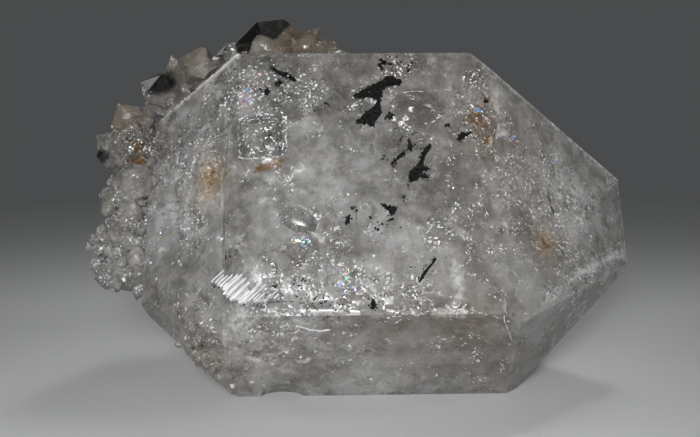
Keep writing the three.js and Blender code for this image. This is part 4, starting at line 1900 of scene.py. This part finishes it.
@dataclass(frozen=True)
class Line:
    """A line drawn on the skin.

    Attributes:
        points: its points, in millimetres, on or near the skin.
        width: in millimetres.
        stray: how far it wanders, in millimetres.
        gaps: the share of it that is left out.
    """

    points: tuple[Point, ...]
    width: float = 0.2
    stray: float = 0.08
    gaps: float = 0.15


@dataclass
class Threads(Piece):
    """The open edges of cracks and growth steps: thin lines of short flat splinters in the skin.

    Attributes:
        name: the piece's name.
        lines: where they run.
        pitch: how long a splinter is, in millimetres.
        lift: how far it stands out of the skin, in millimetres.
        seed: fixes the dice.
    """

    name: str
    lines: tuple[Line, ...]
    pitch: float = 0.5
    lift: float = 0.06
    seed: int = 61

    def build(self, skin: Skin) -> None:
        """Models one splinter and lays its copies along the lines.

        Args:
            skin: what they lie in.
        """
        dice = np.random.default_rng(self.seed)
        splinter = primitive(bpy.ops.mesh.primitive_plane_add, size=1.0)
        with editing(splinter, "SELECT"):
            bpy.ops.mesh.subdivide(number_cuts=1)
            bpy.ops.transform.vertex_random(offset=0.16, seed=self.seed)
        shape = Outline.take(splinter)
        swarm = Swarm(self.name)
        for line in self.lines:
            for start, end in zip(line.points, line.points[1:]):
                for place in self._places(line, Vector(start), Vector(end), skin, dice):
                    swarm.add(shape, place)
        self.mesh_object = swarm.build()

    def _places(
        self, line: Line, start: Vector, end: Vector, skin: Skin, dice: np.random.Generator
    ) -> Iterator[Matrix]:
        """Draws where splinters lie from one point of a line to the next."""
        run = end - start
        count = max(1, round(run.length / self.pitch))
        for i in range(count):
            if dice.random() < line.gaps:
                continue
            wander = Vector(dice.normal(0.0, line.stray, 3))
            middle = start + run * ((i + 0.5) / count) + wander
            place, outwards, _, _ = skin.tree.find_nearest(middle * MM)
            ahead = (run - outwards * run.dot(outwards)).normalized()
            tilt = Matrix.Rotation(dice.normal(0.0, 0.25), 3, ahead)
            side = (tilt @ outwards).cross(ahead).normalized()
            length = self.pitch * dice.uniform(0.9, 1.6) * MM
            width = line.width * dice.uniform(0.5, 1.4) * MM
            basis = Matrix((ahead * length, side * width, ahead.cross(side) * MM)).transposed()
            yield Matrix.Translation(place + outwards * self.lift * MM) @ basis.to_4x4()

    def dress(self, material: bpy.types.Material) -> None:
        """Gives the splinters their finish."""
        self.settle(material)


def on_face(*places: FacePoint) -> tuple[Point, ...]:
    """Points on the upper front face, from how far along and up it they lie, in millimetres."""
    return tuple(tuple(UPPER_FRONT.at(along, up)) for along, up in places)


BRIGHT_LINES = (
    Line(on_face((-40.8, 40.6), (-36, 40.7), (-31.3, 40.4)), 0.3, 0.12, 0.25),
    Line(on_face((-39.6, 39.2), (-35, 39.4), (-32.4, 39.2)), 0.16, 0.1, 0.4),
    Line(on_face((-31.3, 40.4), (-31.2, 33.3), (-32, 32)), 0.26, 0.08, 0.2),
    Line(on_face((-32, 32), (-36, 31.9), (-40.3, 32.1)), 0.2, 0.12, 0.45),
    Line(on_face((-40.3, 32.1), (-40.6, 36), (-40.8, 40.6)), 0.2, 0.12, 0.4),
    Line(on_face((-35.6, 32.6), (-33.4, 32.9), (-32.1, 34.6)), 0.3, 0.2, 0.3),
    Line(
        on_face((-32.3, 20.2), (-30.4, 21.6), (-28.2, 21.8), (-26.2, 20.2), (-25.1, 17.8)),
        0.15, 0.1, 0.4,
    ),
    Line(on_face((-25.1, 17.8), (-25.5, 16.2), (-27.7, 16.6)), 0.15, 0.1, 0.4),
    Line(on_face((-10.8, 44.6), (-8.8, 45.5), (-6.8, 45.8), (-4, 45.8)), 0.22, 0.08, 0.2),
    Line(on_face((-0.2, 40.9), (-2.6, 39.2), (-5, 38.9)), 0.16, 0.1, 0.4),
    Line(
        ((-12.3, -33.2, 18), (-10.1, -32.6, 17), (-7.8, -32.3, 16.5), (-6.2, -32.5, 16.8)),
        0.22, 0.05, 0.05,
    ),
    Line(((-17.5, -34.1, 21.1), (-15.1, -34.4, 20.6), (-12.9, -34.4, 20.4)), 0.18, 0.06, 0.15),
    Line(
        (
            (4.3, -34.2, 19.6), (9.8, -34.6, 20.2), (14.2, -34.1, 21), (19.7, -34.3, 20.7),
            (22.7, -34.4, 20), (33.6, -29.2, 18.4),
        ),
        0.14, 0.15, 0.55,
    ),
    Line(
        ((25.6, -33.6, 22), (26, -33.8, 19), (27.2, -32.1, 16.2), (28.3, -30.6, 13.7)),
        0.14, 0.03, 0.05,
    ),
    Line(((-42.3, 3.1, 53.7), (-33.5, -1.2, 60.6), (-24.7, -5.4, 67.6)), 0.3, 0.2, 0.35),
    Line(
        ((18.3, -26.6, 34.2), (20, -28, 31.8), (20.3, -29.4, 29.4), (17.9, -30.5, 27.4)),
        0.15, 0.15, 0.5,
    ),
    Line(((57, -5, 27.4), (44, -17.4, 24.6), (36, -27, 21)), 0.12, 0.12, 0.35),
    Line(((57, -6.2, 25.8), (44, -18.4, 23.4), (37, -26.4, 20.6)), 0.12, 0.16, 0.45),
    Line(((57.4, -6.8, 24.6), (46, -17.4, 22.6)), 0.12, 0.16, 0.45),
)
DARK_LINES = (
    Line(((38.8, -13, 39.5), (38.8, -14, 37.6), (39.8, -14.7, 35)), 0.3, 0.12, 0.1),
    Line(((47.6, -7.8, 35.7), (47.5, -9.1, 33.8), (47.4, -9.8, 32.5)), 0.26, 0.05, 0.1),
    Line(((-1, -24, 38.8), (-1, -25.4, 36.3), (-1.1, -26.2, 34.9)), 0.1, 0.02, 0),
    Line(((8.7, -22, 42.4), (9.2, -22.4, 41.6)), 0.25, 0.03, 0),
    Line(((-25.7, -25.3, 30.7), (-25.8, -26.2, 29)), 0.3, 0.05, 0),
    Line(
        on_face((-44.9, 8), (-43.3, 6.8), (-42.2, 6), (-42.2, 4.9), (-40.4, 3.6), (-38.8, 2.5)),
        0.35, 0.12, 0.1,
    ),
    Line(
        ((-20.5, -33.3, 22.4), (-16.5, -33.1, 22.7), (-12.2, -33.2, 22.6), (-8.6, -33.8, 21.6)),
        0.14, 0.06, 0.3,
    ),
)


# -------- striped flash


@dataclass(frozen=True)
class Slat:
    """One long step of the striped flash, on the upper front face, in its millimetres.

    Attributes:
        along: where its lower end lies along the face.
        up: how far up the face.
        length: how long it is.
        width: how wide it is.
        proud: how far it stands out.
        bright: whether its skin is the bright copy, painted light, or the grey clear one, painted shade.
    """

    along: float
    up: float
    length: float
    width: float
    proud: float
    bright: bool


@dataclass
class StripedFlash(Piece):
    """A stack of long straight growth steps that ends in a ragged cliff.

    Attributes:
        count: how many steps there are.
        slope: the way they run, in degrees from along the face.
        dip: how far their far ends dip, in degrees.
        turns: how far bright and clear steps, painted lit and painted shaded, are turned about their
            length, in degrees.
        cliff: the points that the cliff's edge runs through, on the face in millimetres.
        seed: fixes the dice.
    """

    count: int = 52
    slope: float = 45.0
    dip: float = 3.5
    turns: tuple[float, float] = (-9.0, 12.0)
    cliff: Ring = (
        (-44.7, 7.8), (-43.2, 7), (-42, 6.2), (-41.6, 5), (-40.3, 4), (-38.8, 3), (-36, 2.8),
        (-33.3, 3.4),
    )
    seed: int = 5

    def slats(self) -> list[Slat]:
        """Works out the steps' places and sizes."""
        dice = np.random.default_rng(self.seed)
        steps = []
        spans = [math.dist(a, b) for a, b in zip(self.cliff, self.cliff[1:])]
        run = np.concatenate([[0.0], np.cumsum(spans)])
        for i in range(self.count):
            share = i / (self.count - 1)
            here = share * run[-1] + dice.uniform(-0.2, 0.2)
            along = np.interp(here, run, [place[0] for place in self.cliff]) + dice.uniform(-0.2, 0.5)
            up = np.interp(here, run, [place[1] for place in self.cliff]) + dice.uniform(-0.1, 0.6)
            length = (2.2 + 4.4 * math.sin(math.pi * min(1.0, 0.15 + share))) * dice.uniform(0.35, 1.1)
            # Some steps get the painted light, the others the painted shade.
            bright = bool(dice.random() < 0.55)
            width, proud = dice.uniform(0.14, 0.5), dice.uniform(0.3, 0.6)
            steps.append(Slat(along, up, length, width, proud, bright))
        return steps

    def build(self, skin: Skin) -> None:
        """Models the steps and joins them.

        Args:
            skin: what they lie in.
        """
        # Two copies of the streaked finish: bright for the painted light on the steps, grey for the
        # painted shade.
        bright = StripeFinish("painted_lit_stripe", grey(0.9)).make()
        clear = StripeFinish("painted_shaded_stripe", grey(0.5)).make()
        bars = []
        for slat in self.slats():
            bar = self._bar(slat, skin)
            bar.data.materials.append(bright)
            bar.data.materials.append(clear)
            finishes = np.full(len(bar.data.polygons), 0 if slat.bright else 1)
            bar.data.polygons.foreach_set("material_index", finishes)
            bars.append(bar)
        self.mesh_object = joined("striped_flash", bars)

    def _bar(self, slat: Slat, skin: Skin) -> MeshObject:
        """Models a step as a bar with a cut end, dipping into the face at its far end."""
        bar = primitive(bpy.ops.mesh.primitive_cube_add, size=1.0)
        with editing(bar):
            choose_faces(bar, lambda face: face.normal.z > 0.9)
            bpy.ops.mesh.inset(thickness=0.16)
            bpy.ops.transform.translate(value=(0.06, 0.0, 0.25))
        run, turn = math.radians(self.slope), math.radians(self.turns[0 if slat.bright else 1])
        lay = Matrix.Rotation(run, 3, "Z") @ Matrix.Rotation(math.radians(self.dip), 3, "Y")
        lay = UPPER_FRONT.turn @ (lay @ Matrix.Rotation(turn, 3, "X"))
        lay = lay @ Matrix.Diagonal((slat.length, slat.width, 1.0))
        foot = UPPER_FRONT.at(
            slat.along + math.cos(run) * slat.length / 3, slat.up + math.sin(run) * slat.length / 3
        )
        middle = skin.under(foot, UPPER_FRONT.outwards)
        middle += UPPER_FRONT.outwards * (slat.proud - 0.5) * MM
        bar.data.transform(Matrix.Translation(middle) @ Matrix.Scale(MM, 4) @ lay.to_4x4())
        return bar

    def dress(self) -> None:
        """Settles the piece, whose bars have their finishes already."""
        self.settle()


# -------- anthraxolite


PATCH_OUTLINES: dict[str, Ring] = {
    "anthraxolite_fork": (
        (-18, 45.3), (-15.2, 47.1), (-12.5, 48.5), (-11.1, 49.6), (-10.3, 49.7), (-9.1, 49.1),
        (-8.1, 48.7), (-8.3, 47.9), (-10.3, 47.5), (-11.8, 47.3), (-12.2, 46.1), (-12.6, 44.4),
        (-12.8, 43.5), (-12.4, 42.4), (-12.7, 40.9), (-13.5, 40), (-13.9, 38.7), (-14.7, 38.6),
        (-15.3, 39.3), (-16.3, 39.5), (-16.9, 39.1), (-17.3, 39.8), (-16.5, 40.4), (-15.9, 41.3),
        (-14.7, 42.2), (-13.8, 43.1), (-13.2, 43.6), (-13.4, 44.4), (-14.8, 45.1), (-16.2, 44.8),
        (-17.2, 44.8),
    ),
    "anthraxolite_streak": (
        (-7.5, 27.2), (-7.3, 28.9), (-6.1, 29.7), (-5.1, 31.4), (-4.8, 32.7), (-4, 34), (-3, 34.7),
        (-2.8, 34.2), (-3.6, 32.9), (-4.3, 31.8), (-4.6, 30.6), (-4.5, 29.9), (-3.6, 29.7),
        (-3.4, 29.3), (-4.6, 29.1), (-5, 28.4), (-3.6, 27.8), (-3.8, 27.4), (-5.6, 27.6), (-6.2, 27),
        (-7.2, 26.6),
    ),
    "anthraxolite_left": (
        (-34.4, 51.7), (-32.8, 50.8), (-30.8, 49.9), (-29.4, 48.6), (-29.8, 48.1), (-31.4, 49.1),
        (-33, 50), (-34.2, 51.2),
    ),
    "anthraxolite_right": (
        (2.4, 35.5), (2.8, 36.6), (3.4, 37.1), (4.2, 36.9), (5, 37.4), (5.3, 37.1), (4.6, 36.5),
        (3.8, 36.1), (3, 35.3),
    ),
    "anthraxolite_wedge": (
        (-13.1, 21.9), (-11.7, 21.4), (-10.2, 21.2), (-10, 20.8), (-11.2, 19.6), (-11.6, 20.4),
        (-12.3, 21), (-12.8, 21.4),
    ),
}
LOOSE_PATCHES: tuple[Ring, ...] = (
    (
        (-11, 30.3), (-10, 31.4), (-9.3, 32.5), (-8.1, 33.1), (-8, 32.5), (-9, 31.8), (-10, 31),
        (-10.7, 30),
    ),
    ((-7.6, 35.7), (-6.9, 35.5), (-6.5, 34), (-7, 33.3), (-7.5, 33.7), (-7.2, 34.8)),
    ((-20, 18.4), (-19.6, 19.4), (-19.2, 19.8), (-19, 19.2), (-19.2, 18.2), (-19.7, 18)),
    ((-35.6, 46.4), (-34.9, 46.6), (-34.5, 45.7), (-35, 45), (-35.6, 45.3)),
    ((-33.7, 47.9), (-32.7, 48.3), (-32, 47.8), (-32.7, 47.2), (-33.5, 47.2)),
    (
        (-3.3, 11.2), (-4.1, 10), (-4.9, 9.1), (-5.9, 7.9), (-6.6, 6.4), (-6.4, 6.3), (-5.6, 7.5),
        (-4.6, 8.8), (-3.8, 9.8), (-3, 10.8),
    ),
    ((-15.6, 3.7), (-14.9, 3.3), (-14.4, 2.2), (-14.9, 1.5), (-15.5, 1.8), (-15.2, 2.6)),
)
# Crumbs: along and up the face, how far they spread, how many, and the largest one's size.
CRUMBS: tuple[tuple[float, float, float, int, float], ...] = (
    (-11, 40.7, 0.7, 9, 0.9), (0.7, 38.7, 0.4, 5, 0.7), (8.8, 44.5, 0.5, 4, 0.8),
    (-16.9, 39.8, 1.1, 10, 0.6), (-5.9, 37.2, 0.5, 4, 0.6), (-9, 36.3, 1.6, 9, 0.4),
    (-5.4, 33.7, 0.8, 6, 0.5), (-12.3, 32, 0.8, 9, 0.4), (-10.4, 31, 0.9, 8, 0.4),
    (-15.6, 34.8, 1, 5, 0.3), (-4.2, 27.6, 0.8, 7, 0.4), (-8.6, 23, 0.4, 4, 0.6),
    (-8, 25.7, 0.6, 5, 0.3), (-11.5, 18.8, 1.3, 12, 0.5), (-14, 17.4, 1.2, 12, 0.5),
    (-18.4, 20.9, 1.1, 8, 0.5), (-12.3, 52.1, 1, 8, 1), (-8.8, 53.5, 1.4, 12, 0.6),
    (-6.5, 51.5, 1, 10, 0.5), (-9.7, 35, 2.6, 16, 0.35), (-25.3, 42.3, 1.5, 12, 0.4),
    (-22.9, 43.2, 1.3, 12, 0.45), (-28.2, 41.2, 1.4, 8, 0.35), (-36, 46.4, 0.8, 8, 0.5),
    (-41.5, 52.2, 1.2, 8, 0.4), (-46.8, 47.8, 0.4, 3, 0.5), (-7.6, 9.3, 0.6, 5, 0.4),
    (-1.5, 11, 0.3, 2, 0.4), (-0.4, 9.5, 0.2, 2, 0.3), (-5, 9, 1.1, 12, 0.3), (-15.1, 2.7, 0.8, 9, 0.5),
    (-24, 3, 1.8, 26, 0.4), (-26.5, 1.4, 2, 18, 0.35), (-44, 7.6, 0.9, 12, 0.5),
    (-42.4, 12.5, 0.6, 5, 0.4), (-41, 6, 1.6, 16, 0.35), (-32.7, 6.1, 0.7, 6, 0.5),
    (-28.4, 5.7, 1.6, 14, 0.35), (-23.3, 0.9, 1.5, 14, 0.4),
)


@dataclass
class Chips:
    """Flat black chips, set in the upper front face one by one.

    Attributes:
        swarm: what they are gathered in.
        shape: what each is a copy of.
        skin: what they lie in.
        dice: the source of chance.
    """

    swarm: Swarm
    shape: Outline
    skin: Skin
    dice: np.random.Generator

    def add(self, middle: Vector, size: float) -> None:
        """Sets one, leaning a little.

        Args:
            middle: its middle, in metres.
            size: its length, in millimetres.
        """
        way = (UPPER_FRONT.outwards + Vector(self.dice.normal(0, 0.15, 3))).normalized()
        stretch = Vector((1.0, self.dice.uniform(0.5, 1.0), 0.5)) * size * MM
        spin = self.dice.uniform(0, ANY_TURN)
        self.swarm.add(self.shape, aimed(middle, way, spin, stretch))

    def add_at(self, along: float, up: float, size: float) -> None:
        """Sets one on the skin, at a place on the face in millimetres."""
        self.add(self.skin.under(UPPER_FRONT.at(along, up), UPPER_FRONT.outwards), size)


@dataclass
class Anthraxolite(Piece):
    """A brittle black patch in the upper front face, with chips all along its edge.

    Attributes:
        name: the piece's name.
        outlines: its outlines on the face, in millimetres.
        node: the solid model's flake that it stands for, if any.
        crumbs: loose specks near it, as in CRUMBS.
        depth: how far it reaches into the quartz, in millimetres.
        proud: how far it stands out.
        pitch: how far apart the chips along its edge are.
        stray: how far they lie off it.
        rubble: how many chips are tried for each square millimetre of its pocket's box.
        seed: fixes the dice.
    """

    name: str
    outlines: tuple[Ring, ...]
    node: str | None = None
    crumbs: tuple[tuple[float, float, float, int, float], ...] = ()
    depth: float = 0.9
    proud: float = 0.16
    pitch: float = 0.28
    stray: float = 0.16
    rubble: float = 14
    seed: int = 3

    def build(self, skin: Skin) -> None:
        """Models the plates, then the chips round and over them, and joins all.

        Args:
            skin: what the chips lie in.
        """
        dice = np.random.default_rng(self.seed)
        chip = Grain(wobble=0.24, seed=8).model()
        parts = [self._plate(outline, skin) for outline in self.outlines]
        chips = Chips(Swarm(self.name + "_chips"), chip, skin, dice)
        for outline in self.outlines:
            self._fray(chips, outline)
        if self.node:
            self._fill_pocket(chips)
        for along, up, spread, count, most in self.crumbs:
            for _ in range(count):
                x = along + dice.normal(0, spread / 1.6)
                y = up + dice.normal(0, spread / 1.6)
                chips.add_at(x, y, 1.5 * most * dice.uniform(0.3, 1.0))
        parts.append(chips.swarm.build())
        self.mesh_object = joined(self.name + "_skin", parts)

    def _plate(self, outline: Ring, skin: Skin) -> MeshObject:
        """Extrudes an outline out of the face, crumples it and lets it follow the skin."""
        foot = [UPPER_FRONT.at(x, y, -self.depth) * MM for x, y in outline]
        obj = new_object("plate", foot, [tuple(range(len(foot)))])
        rise = UPPER_FRONT.outwards * (self.depth + self.proud) * MM
        with editing(obj, "SELECT"):
            bpy.ops.mesh.extrude_region_move(TRANSFORM_OT_translate={"value": rise})
            bpy.ops.mesh.quads_convert_to_tris(ngon_method="BEAUTY")
            bpy.ops.mesh.subdivide(number_cuts=2)
            bpy.ops.mesh.select_all(action="SELECT")
            bpy.ops.transform.vertex_random(offset=0.12 * MM, seed=self.seed)
            bpy.ops.mesh.normals_make_consistent(inside=False)
        out = UPPER_FRONT.outwards
        for corner in obj.data.vertices:
            level = corner.co.dot(out) - UPPER_FRONT.out * MM
            foot = corner.co - out * level
            corner.co += skin.under(foot / MM, out) - foot
        return obj

    def _fray(self, chips: Chips, outline: Ring) -> None:
        """Sets chips along an outline."""
        dice = chips.dice
        for (x0, y0), (x1, y1) in sides(outline):
            steps = max(2, int(math.hypot(x1 - x0, y1 - y0) / self.pitch))
            for i in range(steps):
                share = (i + dice.random()) / steps
                x = x0 + share * (x1 - x0) + dice.normal(0, self.stray)
                y = y0 + share * (y1 - y0) + dice.normal(0, self.stray)
                chips.add_at(x, y, dice.uniform(0.15, 0.6))

    def _fill_pocket(self, chips: Chips) -> None:
        """Fills with rubble what the solid flake's pocket leaves open round the plate."""
        low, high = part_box(self.node)
        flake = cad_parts[self.node]
        tree = BVHTree.FromObject(flake, bpy.context.evaluated_depsgraph_get())
        spread = Vector(high) - Vector(low)
        dice = chips.dice
        for _ in range(int(spread.x * spread.z / MM**2 * self.rubble)):
            x = dice.uniform(low.x, high.x)
            z = dice.uniform(low.z, high.z)
            hit, _, _, _ = tree.ray_cast(Vector((x, low.y - 0.01, z)), Vector((0, 1, 0)))
            if hit is None:
                continue
            along = hit.x / MM - UPPER_FRONT.start
            up = (hit / MM).dot(UPPER_FRONT.upwards)
            if any(inside(outline, along, up) for outline in self.outlines):
                chips.add(UPPER_FRONT.at(along, up, 0.02) * MM, dice.uniform(0.3, 0.7))

    def dress(self, material: bpy.types.Material) -> None:
        """Gives it the black finish, which all the patches share."""
        nodes = [self.node] if self.node else []
        self.settle(material, slot=ANTHRAXOLITE_SLOT, nodes=nodes)


# -------- camera, light, table


@dataclass(frozen=True)
class Viewpoint:
    """The camera.

    Attributes:
        aim_mm: the point that it looks at.
        distance: from there to the camera.
        elevation: how far above the horizon it stands, in degrees.
        azimuth: how far it has gone round to the right, in degrees.
        roll: how far it is tilted, in degrees.
        lens: its focal length in mm, on a sensor of 36 mm.
    """

    aim_mm: Point = (-1.56, 0.05, 32.1)
    distance: float = 0.195
    elevation: float = 10.0
    azimuth: float = -1.4
    roll: float = 0.25
    lens: float = 45.8

    def build(self) -> None:
        """Adds the camera and makes it the scene's."""
        turn = Euler((math.radians(90 - self.elevation), 0.0, math.radians(self.azimuth)))
        facing = turn.to_matrix()
        eye = Vector(self.aim_mm) * MM + facing.col[2] * self.distance
        bpy.ops.object.camera_add(location=eye)
        camera = bpy.context.object
        roll = Matrix.Rotation(math.radians(-self.roll), 3, "Z")
        camera.rotation_euler = (facing @ roll).to_euler()
        camera.data.lens = self.lens
        camera.data.sensor_width = 36.0
        camera.data.clip_start = 0.01
        bpy.context.scene.camera = camera


@dataclass(frozen=True)
class Softbox:
    """A soft light that looks at the specimen.

    Attributes:
        name: the light's name.
        azimuth: how far it stands round to the right of the front, in degrees.
        elevation: how far above the table, in degrees.
        distance: from the specimen's middle.
        size: the length of its side.
        power: in watts.
        spread: how wide its beam opens, in degrees.
        aim_height: how high over the table it aims.
    """

    name: str
    azimuth: float
    elevation: float
    distance: float
    size: float
    power: float
    spread: float = 180.0
    aim_height: float = 0.035

    def build(self) -> None:
        """Adds the light."""
        around, above = math.radians(self.azimuth), math.radians(self.elevation)
        flat = math.cos(above)
        back = Vector((math.sin(around) * flat, -math.cos(around) * flat, math.sin(above)))
        bpy.ops.object.light_add(
            type="AREA",
            location=back * self.distance + Vector((0.0, 0.0, self.aim_height)),
            rotation=back.to_track_quat("Z", "Y").to_euler(),
        )
        light = bpy.context.object
        light.name = self.name
        light.data.size = self.size
        light.data.spread = math.radians(self.spread)
        light.data.energy = self.power


@dataclass(frozen=True)
class Studio:
    """The table, the room's dim light and the softboxes."""

    half_width: float = 1.2
    front_edge: float = -0.9
    back_edge: float = 0.235
    surround: Colour = (0.067, 0.070, 0.072, 1.0)
    boxes: tuple[Softbox, ...] = (
        Softbox("soft_key", -9.0, 21.0, 0.29, 0.12, 0.137, 90.0),
        Softbox("small_key", -6.0, 18.0, 0.28, 0.03, 0.186),
        Softbox("overhead", 30.0, 80.0, 0.5, 0.16, 0.002, 28.0),
        Softbox("left_fill", -100.0, 35.0, 0.5, 0.16, 0.008, 24.0),
        Softbox("right_fill", 85.0, 35.0, 0.5, 0.16, 0.01, 24.0),
        Softbox("back_fill", 160.0, 55.0, 0.5, 0.16, 0.024, 28.0),
    )

    def build(self) -> None:
        """Adds them all."""
        depth = self.back_edge - self.front_edge
        table = primitive(
            bpy.ops.mesh.primitive_grid_add, x_subdivisions=8, y_subdivisions=8, size=1.0
        )
        table.name = "tabletop"
        table.data.transform(
            Matrix.Translation((0.0, self.back_edge - depth / 2, 0.0))
            @ Matrix.Diagonal((2 * self.half_width, depth, 1.0, 1.0))
        )
        table.data.materials.append(FloorFinish("tabletop").make())
        world = bpy.data.worlds.new("room")
        world.use_nodes = True
        world.node_tree.nodes["Background"].inputs["Color"].default_value = self.surround
        bpy.context.scene.world = world
        for box in self.boxes:
            box.build()


def main() -> None:
    """Builds the specimen and its studio in order, and reports each piece."""
    logging.basicConfig(level=logging.INFO, format="%(name)s: %(message)s")
    scene = bpy.context.scene
    scene.view_settings.view_transform = "Standard"
    for limit in ("max_bounces", "transmission_bounces", "transparent_max_bounces"):
        setattr(scene.cycles, limit, LIGHT_BOUNCES)
    Viewpoint().build()
    Studio().build()
    quartz = QuartzBody()
    quartz.build()
    quartz.dress()
    skin = Skin().build(quartz.mesh_object)
    for druse in (
        Druse("left_crystals", LEFT_END, grains=0.5, seed=21, haze=0.32),
        Druse("fine_crystals", FINE_GROWTH, grains=0.5, seed=22, haze=0.35),
    ):
        druse.build(skin)
        druse.dress()
    lumps = LumpyGrowth(LEFT_LUMPS)
    lumps.build()
    lumps.dress()
    lens = LensCrystal()
    lens.build(skin)
    lens.dress()
    # The glitter plates are painted glints: bright, warm and rainbow-coloured.
    for glitter in (
        Glitter(Glow.WHITE, BRIGHT_CLUSTERS + SPRINKLED, seed=31),
        Glitter(Glow.WARM, WARM_CLUSTERS, seed=32),
        Glitter(Glow.RAINBOW, RAINBOW_CLUSTERS, lean=0.35, seed=33),
    ):
        glitter.build(skin)
        glitter.dress()
    flash = StripedFlash()
    flash.build(skin)
    flash.dress()
    black = AnthraxoliteFinish("anthraxolite").make()
    bright = GlitterFinish("bright_crack", grey(0.85), 0.0, 0.2, 0.0, dimming=0.5).make()
    dark = GlitterFinish("dark_crack", grey(0.02), 0.0, 0.3, 0.0).make()
    for threads, material in (
        (Threads("bright_lines", BRIGHT_LINES, seed=61), bright),
        (Threads("dark_lines", DARK_LINES, seed=62), dark),
    ):
        threads.build(skin)
        threads.dress(material)
    patches = [
        Anthraxolite(name, (outline,), node=name, seed=40 + i)
        for i, (name, outline) in enumerate(PATCH_OUTLINES.items())
    ]
    patches.append(Anthraxolite("anthraxolite_crumbs", LOOSE_PATCHES, crumbs=CRUMBS, seed=51))
    for patch in patches:
        patch.build(skin)
        patch.dress(black)
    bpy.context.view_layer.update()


if __name__ == "__main__":
    main()
